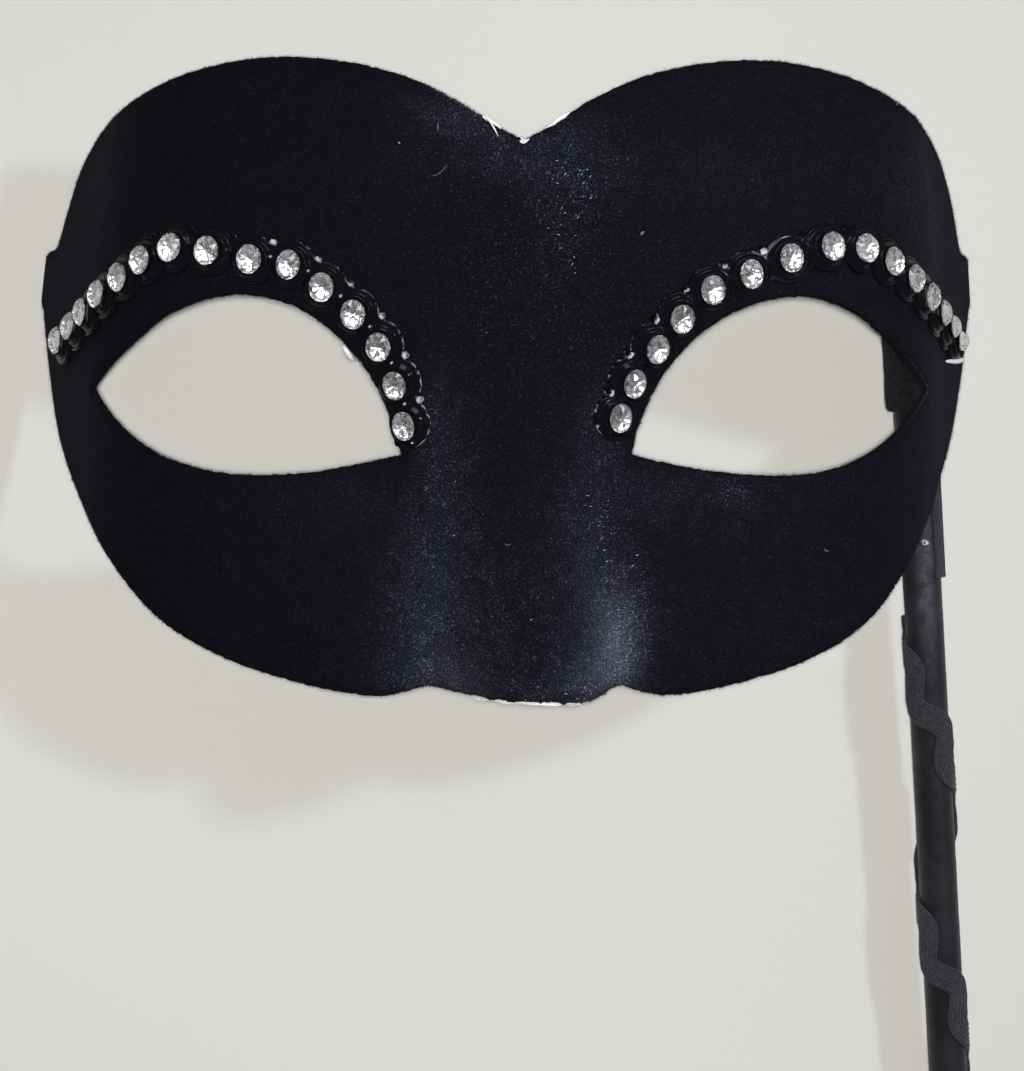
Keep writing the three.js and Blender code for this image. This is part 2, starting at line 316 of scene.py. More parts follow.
def brownFelt(tree):
    wool = grain(tree, 3200, 4.0, 0.65)
    light = wool.ramp(0.38, 0.72) * (0.45 + grain(tree, 260))
    return {
        "Base Color": mixColour(tree, light, "felt", "feltLit"),
        "Roughness": 0.95, "Specular IOR Level": 0.06, "Normal": bumped(tree, wool, 0.0003, 0.9),
        **sheen(0.05, 0.6, rgb(0.95, 0.9, 1.0)),
    }


def clearGlue(tree):
    # painted light: grey and white patches by noise stand in for the glassy drop's bright crescent and its
    # grey middle
    crescentPatches = grain(tree, 1100).ramp(0.42, 0.56)
    colour = mixColour(tree, crescentPatches, "glue", "glueClear")
    return {
        "Base Color": colour, "Roughness": 0.08, "IOR": 1.48, "Transmission Weight": 0.3, "Coat Weight": 1.0,
    }


def paleLint(tree):
    colour = mixColour(tree, grain(tree, 1500), "lint", "lintLit")
    return {"Base Color": colour, "Roughness": 0.8}


def brightFibre(tree):
    # painted glint: the pale colour of fibres that stand in for glints of the flock
    return {"Base Color": tones["flockGlint"], "Roughness": 0.5}


def whitePlasticAndGlint(tree):
    # white plastic, which also serves as the painted highlight on the strip's cut end
    return {"Base Color": tones["white"], "Roughness": 0.3}


def paleFloor(tree):
    broad = grain(tree, 4.0).ramp(0.3, 0.7)
    colour = mixColour(tree, broad, "floor", "floorLit")
    return {"Base Color": colour, "Roughness": 0.7, "Specular IOR Level": 0.2}


shell = {
    "wall": 1.2, "halfArc": 108.0, "frontArc": 47.0, "frontRadius": 150.0, "templeRadius": 41.0,
    "sideSlope": math.radians(65.5), "bowRadius": 320.0, "bowMiddle": 22.0,
    "leanSlope": 0.03, "leanMiddle": 42.0, "leanFrom": 45.0, "leanTo": 95.0,
    "noseTop": 26.0, "noseLow": -22.0, "noseHeight": 12.0, "noseTopHalf": 9.0, "noseLowHalf": 15.5,
    "noseShift": 2.6, "socketDepth": 7.5, "socketAcross": 25.0, "socketUp": 14.0,
    "socketHalfWidth": 10.0, "socketHalfHeight": 12.0,
    "spacing": 1.15, "rimStep": 0.4, "rimRound": 0.5, "waviness": 0.07, "proud": 0.34, "frayed": 0.22,
    "torn": 0.75, "tornMost": 1.4, "rimRough": 0.05, "halfWide": 114.0, "lowest": -30.0, "highest": 80.0,
    "clear": 0.6,
}
frontAngle = shell["frontArc"] / shell["frontRadius"]
templeArc = shell["templeRadius"] * (shell["sideSlope"] - frontAngle)


def smooth(value, low, high):
    share = np.clip((value - low) / (high - low), 0, 1)
    return share * share * (3 - 2 * share)


def bell(value, middle, width):
    return np.exp(-((value - middle) / width) ** 2)


def domed(away, foot=0.0, height=1.0):
    # a round bump whose edge is where away is 1
    return foot + height * np.sqrt(np.clip(1 - away ** 2, 0, 1))


def unit(vectors):
    return vectors / np.linalg.norm(vectors, axis=-1, keepdims=True)


def section(u):
    along = np.abs(u)
    front = np.minimum(along, shell["frontArc"]) / shell["frontRadius"]
    temple = frontAngle + np.clip(along - shell["frontArc"], 0, templeArc) / shell["templeRadius"]
    straight = np.maximum(along - shell["frontArc"] - templeArc, 0)
    slope = shell["sideSlope"]
    x = (shell["frontRadius"] * np.sin(front)
         + shell["templeRadius"] * (np.sin(temple) - np.sin(frontAngle)) + straight * np.cos(slope))
    drop = (shell["frontRadius"] * (1 - np.cos(front))
            + shell["templeRadius"] * (np.cos(frontAngle) - np.cos(temple)) + straight * np.sin(slope))
    return np.sign(u) * x, drop, np.sign(u) * np.where(along < shell["frontArc"], front, temple)


shellHeight = float(section(np.array(shell["halfArc"]))[1])


def relief(u, v):
    bow = (v - shell["bowMiddle"]) ** 2 / (2 * shell["bowRadius"])
    down = np.clip((shell["noseTop"] - v) / (shell["noseTop"] - shell["noseLow"]), 0, 1)
    ridge = shell["noseShift"] * down
    half = shell["noseTopHalf"] + (shell["noseLowHalf"] - shell["noseTopHalf"]) * down
    across = np.where(u < ridge, (ridge - u) / (half + ridge), (u - ridge) / (half - ridge))
    bump = shell["noseHeight"] * smooth(down, 0, 1) * np.clip(1 - across ** 2, 0, 1) ** 2
    sideways = (np.abs(u) - shell["socketAcross"]) / shell["socketHalfWidth"]
    upward = (v - shell["socketUp"]) / shell["socketHalfHeight"]
    return bump - bow - shell["socketDepth"] * np.exp(-(sideways ** 2 + upward ** 2) / 2)


def onMask(u, v, w):
    u, v, w = np.broadcast_arrays(np.asarray(u, float), np.asarray(v, float), np.asarray(w, float))
    x, drop, angle = section(u)
    out = relief(u, v) + w
    leaning = smooth(np.abs(u), shell["leanFrom"], shell["leanTo"])
    aside = shell["leanSlope"] * (v - shell["leanMiddle"]) * leaning
    return np.stack([x + out * np.sin(angle) + aside, v, shellHeight - drop + out * np.cos(angle)], -1)


def outward(u, v, step=0.05):
    across = onMask(u + step, v, 0) - onMask(u - step, v, 0)
    up = onMask(u, v + step, 0) - onMask(u, v - step, 0)
    return unit(np.cross(across, up))


def offMask(u, v, height):
    # a point that stands height above the shell's outer face
    return onMask(u, v, shell["wall"]) + outward(u, v) * np.asarray(height, float)[..., None]


notch = [0.0, 63.2]
browPoints = [[5.4, 66.3], [11.2, 70], [19.9, 74], [31, 76.7], [43, 77.6], [56, 76.3], [68, 73.9], [83, 70.2],
              [91.4, 66.3], [96, 62], [99, 56.8], [101.6, 51.6]]
tabPoints = [[103, 50.2], [112, 49.4], [112, 44]]
cheekPoints = [[107, 39.5], [101, 28], [95, 17.5], [88.3, 10], [81.4, 3.6], [72.4, -5], [61.6, -14],
               [49.4, -20], [36, -24], [25, -25.8], [19.5, -25.1], [15.6, -24.1]]
nosePoints = [[12.6, -25.6], [9.2, -26.5], [3, -26.3], [-4, -26], [-10.5, -25]]
eyeInner = [19.6, 13.1]
eyeOuter = [78, 24.7]
eyeBrow = [[21.1, 18.5], [24.8, 26.2], [30.5, 32.8], [38.1, 37.3], [47.4, 38.8], [57.2, 36.4], [65.7, 31.9]]
eyeCheek = [[69, 18.2], [59, 12.9], [49.3, 10.2], [40.3, 9.8], [31.8, 10.7]]
eyeShift = {"left": 0.9, "right": -1.1, "from": 24.0, "to": 62.0}


def throughPoints(points, steps=24):
    # a Catmull-Rom line through the points, without its last one
    points = np.array(points, float)
    last = len(points) - 1
    share = np.linspace(0, 1, steps, endpoint=False)[:, None]
    pieces = []
    for i in range(last):
        before, here, there, after = points[max(i - 1, 0)], points[i], points[i + 1], points[min(i + 2, last)]
        leave, arrive = (there - before) / 2, (after - here) / 2
        pieces.append((2 * here - 2 * there + leave + arrive) * share ** 3
                      + (3 * there - 3 * here - 2 * leave - arrive) * share ** 2 + leave * share + here)
    return np.concatenate(pieces)


def mirrored(points):
    return [[-u, v] for u, v in reversed(points)]


def evenly(ring, step, corners=()):
    # the closed ring with points at even steps, and a point kept at each named corner
    starts = sorted(int(np.argmin(np.hypot(*(ring - np.array(c)).T))) for c in corners) or [0]
    out = []
    for i, start in enumerate(starts):
        end = starts[(i + 1) % len(starts)]
        run = np.concatenate([ring, ring])[start:(end if end > start else end + len(ring)) + 1]
        lengths = np.concatenate([[0], np.cumsum(np.hypot(*np.diff(run, axis=0).T))])
        count = max(2, round(lengths[-1] / step))
        at = np.linspace(0, lengths[-1], count, endpoint=False)
        out.append(np.stack([np.interp(at, lengths, run[:, 0]), np.interp(at, lengths, run[:, 1])], -1))
    return np.concatenate(out)


def maskRing():
    brow = throughPoints([notch] + browPoints)
    cheeks = throughPoints([tabPoints[-1]] + cheekPoints + nosePoints + mirrored(cheekPoints))
    back = throughPoints([mirrored(tabPoints)[-1]] + mirrored(browPoints) + [notch])
    ring = np.concatenate([brow, [browPoints[-1]], tabPoints[:-1], cheeks, [mirrored(cheekPoints)[-1]],
                           mirrored(tabPoints)[:-1], back])
    corners = [notch] + tabPoints + mirrored(tabPoints) + [browPoints[-1], mirrored(browPoints)[0]]
    return evenly(ring, shell["rimStep"], corners)


def eyeRing(side):
    sign = -1 if side == "left" else 1

    def shifted(points):
        points = np.array(points, float)
        share = np.abs(smooth(points[:, 0], eyeShift["from"], eyeShift["to"]) * 2 - 1)
        return np.stack([sign * (points[:, 0] + eyeShift[side] * share), points[:, 1]], -1)

    brow = shifted([eyeInner] + eyeBrow + [eyeOuter])
    cheek = shifted([eyeOuter] + eyeCheek + [eyeInner])
    ring = np.concatenate([throughPoints(brow), throughPoints(cheek)])
    return evenly(ring, shell["rimStep"], [brow[0], brow[-1]])


def area(ring):
    x, y = ring.T
    return 0.5 * np.sum(x * np.roll(y, -1) - np.roll(x, -1) * y)


def inset(ring, distance, intoLeft):
    # the ring moved sideways into the material
    before = unit(ring - np.roll(ring, 1, 0))
    after = unit(np.roll(ring, -1, 0) - ring)
    side = np.stack([-(before + after)[:, 1], (before + after)[:, 0]], -1)
    side /= np.maximum(np.linalg.norm(side, axis=1, keepdims=True), 1e-6)
    straight = np.stack([-after[:, 1], after[:, 0]], -1)
    mitre = np.clip(1 / np.maximum(np.sum(side * straight, 1), 0.5), 1, 1.6)
    return ring + side * (distance * mitre * (1 if intoLeft else -1))[:, None]


def inRing(points, ring):
    x, y = points[:, 0][:, None], points[:, 1][:, None]
    x0, y0 = ring.T
    x1, y1 = np.roll(ring, -1, 0).T
    crosses = (y0 > y) != (y1 > y)
    with np.errstate(divide="ignore", invalid="ignore"):
        at = x0 + (y - y0) * (x1 - x0) / (y1 - y0)
    return (np.sum(crosses & (x < at), 1) % 2) == 1


def nearRing(points, ring):
    nearest = np.full(len(points), np.inf)
    for start in range(0, len(ring), 100):
        part = ring[start:start + 100]
        gap = np.min(np.hypot(points[:, 0][:, None] - part[:, 0], points[:, 1][:, None] - part[:, 1]), 1)
        nearest = np.minimum(nearest, gap)
    return nearest


def newPiece(name, points, faces, finishes=(), slots=None, soft=True, edges=()):
    mesh = bpy.data.meshes.new(name)
    mesh.from_pydata([tuple(p) for p in points], list(edges), [tuple(f) for f in faces])
    for finish in finishes:
        mesh.materials.append(finish)
    if slots is not None:
        mesh.polygons.foreach_set("material_index", np.asarray(slots, np.int32))
    mesh.polygons.foreach_set("use_smooth", [soft] * len(mesh.polygons))
    mesh.validate()
    mesh.update()
    return linked(name, mesh)


def paint(piece, name, values, kind="FLOAT"):
    layer = piece.data.attributes.new(name, kind, "POINT")
    layer.data.foreach_set("value" if kind == "FLOAT" else "vector", np.asarray(values, np.float32).ravel())


def faceOut(piece, work=None):
    # turns all faces outwards, after any other work on the mesh
    sheet = bmesh.new()
    sheet.from_mesh(piece.data)
    if work:
        work(sheet)
    bmesh.ops.recalc_face_normals(sheet, faces=sheet.faces)
    if sheet.calc_volume(signed=True) < 0:
        bmesh.ops.reverse_faces(sheet, faces=sheet.faces)
    sheet.to_mesh(piece.data)
    sheet.free()
    return piece


def turned(face, back):
    return tuple(reversed(face)) if back else face


def tubeFaces(rings, sides, first=0):
    # the sides of a tube, whose points lie ring by ring
    faces = []
    for i in range(rings - 1):
        low, high = first + i * sides, first + (i + 1) * sides
        faces += [(low + j, low + (j + 1) % sides, high + (j + 1) % sides, high + j) for j in range(sides)]
    return faces


def slabFaces(rows, columns, at):
    # a closed slab over a grid, where at numbers the point (i, j) on its lower (0) or upper (1) side
    faces = []
    for i in range(rows):
        for j in range(columns):
            faces.append((at(i, j, 0), at(i, j + 1, 0), at(i + 1, j + 1, 0), at(i + 1, j, 0)))
            faces.append((at(i, j, 1), at(i + 1, j, 1), at(i + 1, j + 1, 1), at(i, j + 1, 1)))
        for j in (0, columns):
            faces.append(turned((at(i, j, 0), at(i + 1, j, 0), at(i + 1, j, 1), at(i, j, 1)), j > 0))
    for i in (0, rows):
        for j in range(columns):
            faces.append(turned((at(i, j, 0), at(i, j, 1), at(i, j + 1, 1), at(i, j + 1, 0)), i > 0))
    return faces


def settle(piece, slot, *nodes):
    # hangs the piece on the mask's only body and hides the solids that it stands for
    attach(piece, "root")
    if nodes:
        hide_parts(*nodes)
    print(piece.name + ":", len(piece.data.polygons), "faces")
    return piece


# painted sheen: where the flock is painted lighter, as the light catches its pile there: place (u, v), half
# sizes (u, v) and strength
paintedSheenPatches = [
    # round the notch and over the forehead
    (-9.5, 66.8, 7.0, 3.4, 0.30), (-17.0, 69.0, 6.0, 3.0, 0.10), (-3.5, 61.0, 5.0, 4.0, 0.14),
    (-16.0, 60.0, 11.0, 5.0, 0.06), (2.5, 60.0, 5.5, 4.5, 0.11), (8.0, 65.0, 6.0, 3.6, 0.13),
    (9.0, 57.5, 8.0, 5.5, 0.09), (28.0, 59.0, 24.0, 6.0, 0.05), (5.0, 51.0, 5.0, 8.0, 0.04),
    (3.5, 40.0, 4.0, 12.0, 0.03),
    # beside the nose and under the eyes
    (13.0, 17.0, 4.0, 9.0, 0.22), (22.0, 6.5, 12.0, 5.0, 0.07), (35.5, 7.0, 3.0, 2.0, 0.12),
    (-14.0, 15.0, 4.0, 12.0, 0.24), (-26.0, 6.0, 9.0, 5.0, 0.07), (-13.5, -12.0, 8.5, 16.0, 0.38),
    (-14.0, -22.0, 9.0, 5.0, 0.26), (-10.0, -23.5, 3.5, 3.0, 0.2), (15.6, -17.5, 3.6, 8.5, 0.95),
    (10.5, -8.0, 4.0, 14.0, 0.26), (10.5, -22.5, 5.0, 5.0, 0.6), (16.0, -13.0, 8.0, 14.0, 0.10),
    (4.0, -13.0, 5.0, 14.0, 0.07), (-5.0, -12.0, 4.0, 14.0, 0.05), (11.8, -15.0, 2.6, 9.0, 0.22),
    (7.5, 2.0, 3.5, 12.0, 0.12), (-8.0, 10.0, 3.0, 14.0, 0.08), (30.0, 8.0, 22.0, 7.0, 0.04),
    (0.0, -24.5, 10.0, 2.6, 0.16),
    # at the temples
    (-78.0, 16.0, 7.0, 11.0, 0.08), (-79.0, 58.0, 8.0, 12.0, 0.06), (73.0, 58.0, 12.0, 10.0, 0.10),
    (82.0, 44.0, 8.0, 25.0, 0.12),
]
# painted light: a little painted sheen everywhere, and more towards the right, the side the light comes from
paintedSheenEverywhere = {"least": 0.035, "right": 0.055, "from": -5.0, "to": 45.0}
# painted glints: where the flock's fibres are painted brighter as they glint, with pale loose fibres strewn
# there, in the same form
flockGlintPatches = [
    (9.0, 57.5, 4.0, 4.5, 1.0), (6.5, 49.0, 4.0, 6.0, 0.6), (12.0, 4.0, 4.0, 5.0, 0.5),
    (15.0, -3.0, 4.0, 6.0, 0.4), (9.0, -24.5, 4.0, 1.8, 0.6), (-14.0, 3.0, 6.0, 5.0, 0.2),
    (-10.0, 62.0, 8.0, 5.0, 0.15), (3.0, 44.0, 15.0, 22.0, 0.25), (0.0, -10.0, 13.0, 18.0, 0.25),
    (4.0, 60.0, 16.0, 8.0, 0.08),
]
# painted light: rims painted lighter where they catch the light at the notch and the nose, and at the eye's
# outer corner, where only the edge is painted so
rimPatches = [(-11.0, 69.0, 7.0, 3.5, 0.75), (9.0, -26.0, 9.0, 2.0, 0.3)]
cornerPatches = [(77.5, 24.7, 7.0, 9.0, 0.8)]
# where the white plastic shows along the cut edge: place (u, v), half size and strength
corePatches = [
    (-5.7, 66.6, 1.4, 1.0), (-7.6, 67.9, 1.1, 0.6), (-0.1, 63.2, 0.8, 1.0), (4.6, 66.2, 1.3, 1.0),
    (6.3, 67.2, 1.5, 0.9), (9.6, 69.0, 1.0, 0.15), (-7.2, -25.5, 1.5, 0.75), (-3.8, -26.1, 1.2, 0.9),
    (0.0, -26.2, 2.2, 0.95), (3.6, -26.3, 1.8, 1.0), (7.0, -26.4, 1.7, 0.85), (9.4, -26.4, 1.0, 0.7),
]


def patched(u, v, patches):
    total = np.zeros_like(u)
    for middleU, middleV, halfU, halfV, strength in patches:
        total += strength * np.exp(-((u - middleU) / halfU) ** 2 - ((v - middleV) / halfV) ** 2)
    return total


def paintedSheenAt(u, v):
    # how much painted sheen the flock has at (u, v)
    base = paintedSheenEverywhere
    return patched(u, v, paintedSheenPatches) + base["least"] + base["right"] * smooth(u, base["from"], base["to"])


def coreAt(u, v):
    nearest = np.zeros_like(u)
    for middleU, middleV, half, strength in corePatches:
        away = ((u - middleU) ** 2 + (v - middleV) ** 2) / half ** 2
        nearest = np.maximum(nearest, strength * np.exp(-away ** 2))
    return nearest


def sheetPoints(rings):
    # even points over the shell, kept a little off the rims
    step = shell["spacing"]
    rows = np.arange(shell["lowest"], shell["highest"], step * math.sqrt(3) / 2)
    points = []
    for i, v in enumerate(rows):
        us = np.arange(-shell["halfWide"], shell["halfWide"], step) + (step / 2 if i % 2 else 0)
        points.append(np.stack([us, np.full_like(us, v)], -1))
    points = np.concatenate(points)
    keep = inRing(points, rings[0])
    for ring in rings[1:]:
        keep &= ~inRing(points, ring)
    points = points[keep]
    clear = np.min([nearRing(points, ring) for ring in rings], 0)
    return points[clear > step * shell["clear"]]


def flatSheet(edge):
    # triangles over the flat mask between its rims, and the numbers that each rim's points have in it
    flat = np.concatenate(edge + [sheetPoints(edge)])
    links, starts, at = [], [], 0
    for ring in edge:
        starts.append(at)
        links += [(at + i, at + (i + 1) % len(ring)) for i in range(len(ring))]
        at += len(ring)
    verts, _, faces, origins, _, _ = delaunay_2d_cdt([Vector(p) for p in flat], links, [], 1, 1e-5)
    found = np.array([[p.x, p.y] for p in verts])
    index = np.zeros(len(flat), int)
    for i, sources in enumerate(origins):
        for j in sources:
            index[j] = i
    middles = np.array([found[list(f)].mean(0) for f in faces])
    hole = inRing(middles, edge[1]) | inRing(middles, edge[2])
    faces = [tuple(f) for f, out in zip(faces, hole) if not out]
    return found, faces, [index[start:start + len(ring)] for start, ring in zip(starts, edge)]


def ripple(points, scale, level, strength=1.0):
    # smooth noise over the flat mask
    return np.array([noise.noise((u * scale, v * scale, level)) for u, v in points]) * strength


def wavy(points):
    return ripple(points, 0.11, 1.7, shell["waviness"])


def cutAtFloor(sheet):
    # the rounded rim's lowest edge, cut flat where the mask lies on the floor
    bmesh.ops.recalc_face_normals(sheet, faces=sheet.faces)
    everything = list(sheet.verts) + list(sheet.edges) + list(sheet.faces)
    plane = {"plane_co": (0, 0, 1e-6), "plane_no": (0, 0, 1)}
    bmesh.ops.bisect_plane(sheet, geom=everything, clear_inner=True, **plane)
    rim = [edge for edge in sheet.edges if edge.is_boundary]
    bmesh.ops.triangle_fill(sheet, edges=rim, use_beauty=True)


# the rounded rim, as (share of the inset left, height through the wall)
rimProfile = [(0.62, 0.93), (0.22, 0.78), (0.0, 0.5), (0.2, 0.2), (0.6, 0.05)]
# how much painted sheen, pile, fuzz and bare core a point has, on the faces' edges and on the rim
rimPile = {"edge": 0.7, "edgePile": 3.0, "rimPile": 6.0, "lit": 1.6, "core": 0.9, "coreShare": 0.55,
           "paintedSheen": 0.7, "cornerLow": 0.06, "coreLow": 0.45}


def makeShell():
    rings = [maskRing(), eyeRing("left"), eyeRing("right")]
    insides = [area(rings[0]) > 0] + [area(ring) < 0 for ring in rings[1:]]
    edge = [inset(ring, shell["rimRound"], left) for ring, left in zip(rings, insides)]
    found, sheet, tops = flatSheet(edge)
    wall, count = shell["wall"], len(found)
    gap = np.min([nearRing(found, ring) for ring in rings], 0)
    onEdge = gap < rimPile["edge"]

    def fuzzAt(flat):
        return 1.0 + rimPile["lit"] * patched(*flat.T, rimPatches[:1])

    points = [onMask(*found.T, wall + wavy(found)), onMask(*found.T, 0)]
    layers = {
        "paintedSheen": [paintedSheenAt(*found.T)], "flockGlint": [patched(*found.T, flockGlintPatches)],
        "core": [coreAt(*found.T) * np.clip(1 - gap / rimPile["core"], 0, 1) * rimPile["coreShare"]],
        "pile": [np.ones(count) + rimPile["edgePile"] * onEdge], "fuzz": [fuzzAt(found) * onEdge],
    }
    for values in layers.values():
        values.append(np.zeros(count))
    faces = list(sheet) + [tuple(count + i for i in reversed(f)) for f in sheet]
    slots = [0] * len(sheet) + [1] * len(sheet)
    at = 2 * count
    for ring, left, top, edgeRing in zip(rings, insides, tops, edge):
        size = len(ring)
        rows = [top]
        bare = coreAt(*ring.T)
        torn = np.clip(shell["torn"] + ripple(ring, 1.9, 4.4), 0, shell["tornMost"])
        frayed = ripple(ring, 1.1, 9.0, shell["frayed"])
        outwards = (ring - edgeRing) / shell["rimRound"]
        for share, height in rimProfile:
            standing = bare * shell["proud"] * torn * (0.2 < height < 0.9)
            line = ring + (edgeRing - ring) * share + outwards * (standing + frayed * (1 - share))[:, None]
            rough = ripple(line, 2.3, height * 3, shell["rimRough"])
            points.append(onMask(*line.T, wall * height + wavy(line) * height + rough))
            # painted light on the rim, added to its painted sheen
            edgeOnly = patched(*line.T, cornerPatches) * (1.0 if height > 0.9 else rimPile["cornerLow"])
            lit = patched(*line.T, rimPatches) + edgeOnly
            layers["paintedSheen"].append(paintedSheenAt(*line.T) * rimPile["paintedSheen"] + lit)
            layers["flockGlint"].append(patched(*line.T, flockGlintPatches))
            layers["core"].append(bare * (1.0 if 0.1 < height < 0.9 else rimPile["coreLow"]))
            layers["pile"].append(rimPile["rimPile"] * (1 - bare) * (height > 0.15))
            layers["fuzz"].append(fuzzAt(line) * (1 - bare) * (height > 0.3))
            rows.append(np.arange(at, at + size))
            at += size
        rows.append(top + count)
        for i, (one, two) in enumerate(zip(rows, rows[1:])):
            for j in range(size):
                k = (j + 1) % size
                faces.append(turned((one[j], one[k], two[k], two[j]), left))
                slots.append(0 if i < 4 else 1)
    piece = newPiece("maskShell", toFrame(np.concatenate(points)), faces, [flockFinish, insideFinish], slots)
    for name, values in layers.items():
        paint(piece, name, np.concatenate(values))
    return faceOut(piece, cutAtFloor)


def newTree(name, inputs):
    # a geometry tree with one mesh in and out, and the named sizes in between
    tree = bpy.data.node_groups.new(name, "GeometryNodeTree")
    tree.interface.new_socket("Geometry", in_out="OUTPUT", socket_type="NodeSocketGeometry")
    tree.interface.new_socket("Geometry", in_out="INPUT", socket_type="NodeSocketGeometry")
    for label, (kind, value) in inputs.items():
        socket = tree.interface.new_socket(label, in_out="INPUT", socket_type="NodeSocket" + kind)
        if kind not in ("Object", "Material"):
            socket.default_value = value
    entry = tree.nodes.new("NodeGroupInput")
    return tree, {socket.name: Wire(tree, socket) for socket in entry.outputs if socket.name}


def endTree(tree, geometry, finish=None):
    # without a finish, the copies keep their own
    done = addNode(tree, "GeometryNodeRealizeInstances", None, [geometry])
    if finish:
        done = addNode(tree, "GeometryNodeSetMaterial", None, {"Geometry": done, "Material": finish})
    end = tree.nodes.new("NodeGroupOutput")
    tree.links.new(done.socket, end.inputs[0])


def grown(name, host, tree, values):
    # runs the tree on the host mesh and keeps the result as a plain mesh
    modifier = host.modifiers.new(name, "NODES")
    modifier.node_group = tree
    for socket in tree.interface.items_tree:
        if socket.in_out == "INPUT" and socket.name in values:
            modifier[socket.identifier] = values[socket.name]
    host.update_tag()
    graph = bpy.context.evaluated_depsgraph_get()
    graph.update()
    result = host.evaluated_get(graph)
    mesh = bpy.data.meshes.new_from_object(result, preserve_all_data_layers=True, depsgraph=graph)
    host.modifiers.remove(modifier)
    mesh.name = name
    return linked(name, mesh)


def attribute(tree, name, kind="FLOAT"):
    return addNode(tree, "GeometryNodeInputNamedAttribute", {"data_type": kind}, {"Name": name})


def objectMesh(tree, thing):
    return addNode(tree, "GeometryNodeObjectInfo", None, {"Object": thing}, "Geometry")


def randomShare(tree, low, high, seed):
    limits = {2: low, 3: high, "Seed": seed}
    return addNode(tree, "FunctionNodeRandomValue", {"data_type": "FLOAT"}, limits, 1)


def swayed(tree, way, amount, seed):
    # the direction with a random part added, as large as the amount
    limits = {0: (-1, -1, -1), 1: (1, 1, 1), "Seed": seed}
    sway = addNode(tree, "FunctionNodeRandomValue", {"data_type": "FLOAT_VECTOR"}, limits)
    scaled = addNode(tree, "ShaderNodeVectorMath", {"operation": "SCALE"}, {0: sway, "Scale": amount})
    return addNode(tree, "ShaderNodeVectorMath", {"operation": "ADD"}, [way, scaled])


def spike(name, radius, length, bend):
    # a three-sided fibre, closed at its foot, that stands along Z
    points = [(radius * math.cos(a), radius * math.sin(a), 0) for a in (0.0, 2.094, 4.189)]
    points.append((bend, 0, length))
    return newPiece(name, points, [(0, 2, 1), (0, 1, 3), (1, 2, 3), (2, 0, 3)], soft=False)


fibreSeeds = {"lean": 11, "size": 12, "tone": 13}


def fibreTree(name, finish, thickness=None):
    # fibres on the faces of a mesh, leaning at random from its normals
    tree, given = newTree(name, {
        "Fibre": ("Object", None), "Density": ("Float", 1e6), "Shortest": ("Float", 0.7),
        "Longest": ("Float", 1.2), "Lean": ("Float", 0.5), "Seed": ("Int", 1),
    })
    density = given["Density"]
    if thickness:
        density = density * attribute(tree, thickness)
    spread = addNode(tree, "GeometryNodeDistributePointsOnFaces", None,
                     {"Mesh": given["Geometry"], "Density": density, "Seed": given["Seed"]})
    aim = swayed(tree, spread.other("Normal"), given["Lean"], fibreSeeds["lean"])
    turn = addNode(tree, "FunctionNodeAlignRotationToVector", {"axis": "Z"}, {"Vector": aim})
    size = randomShare(tree, given["Shortest"], given["Longest"], fibreSeeds["size"])
    tone = randomShare(tree, 0.0, 1.0, fibreSeeds["tone"])
    toned = addNode(tree, "GeometryNodeStoreNamedAttribute", {"data_type": "FLOAT", "domain": "POINT"},
                    {"Geometry": spread, "Name": "tone", "Value": tone})
    copies = addNode(tree, "GeometryNodeInstanceOnPoints", None, {
        "Points": toned, "Instance": objectMesh(tree, given["Fibre"]), "Rotation": turn, "Scale": size,
    })
    endTree(tree, copies, finish)
    return tree


def addFibres(name, host, finish, slot, fibre, values, thickness=None):
    # fibre gives one fibre's size, and thickness names the host's own attribute that thins them out
    tree = fibreTree(name + "Tree", finish, thickness)
    strand = spike(name + "Pattern", fibre["radius"] * mm, fibre["length"] * mm, fibre["bend"] * mm)
    piece = grown(name, host, tree, {"Fibre": strand, **values})
    bpy.data.objects.remove(strand)
    settle(piece, slot)


# the strips' sizes, with heights above the shell's outer face and places across from the stones' line
trim = {
    "last": 14, "pitch": 6.6, "dish": 4.05, "waist": 1.9, "lift": 0.12, "columns": 34, "rows": 22,
    "edge": 0.3, "round": 0.28, "eyeSide": 2.85, "eyeSideMore": 1.3,
    "seat": 2.46, "seatHeight": 0.95, "rimHeight": 0.60, "cone": 1.15, "coneFrom": 2.4, "coneTo": 3.7,
    "ringAt": 3.72, "ringWidth": 0.15, "ringLow": 0.05, "ringHigh": 0.30,
    "bead": 0.55, "beadAt": 3.2, "beadReach": 3.15, "beadFoot": 0.45, "beadHeight": 1.2,
    "pip": 0.36, "pipAt": 0.6, "pipFoot": 0.9, "pipHeight": 0.8, "crowding": 0.35,
}
trimPoints = {
    "left": [[-19.1, 18], [-20.6, 24.6], [-23.4, 30.6], [-27.3, 35.6], [-32.3, 39.7], [-37.5, 43.2],
             [-44, 44.3], [-51, 45.8], [-57.7, 46.5], [-63.5, 44.9], [-68.7, 42.5], [-74.4, 39.8],
             [-79.8, 37.4], [-85.7, 35.2], [-91.9, 33.3]],
    "right": [[15.3, 19.2], [17.6, 24.8], [21.3, 30.3], [25.5, 35.2], [30.4, 39.3], [36.6, 42],
              [43.5, 44.7], [50.8, 46.9], [57.4, 46.9], [63.2, 45.2], [68.8, 42.7], [74.2, 40.2],
              [79.8, 37.8], [86.6, 35.9], [92.4, 33.8]],
}


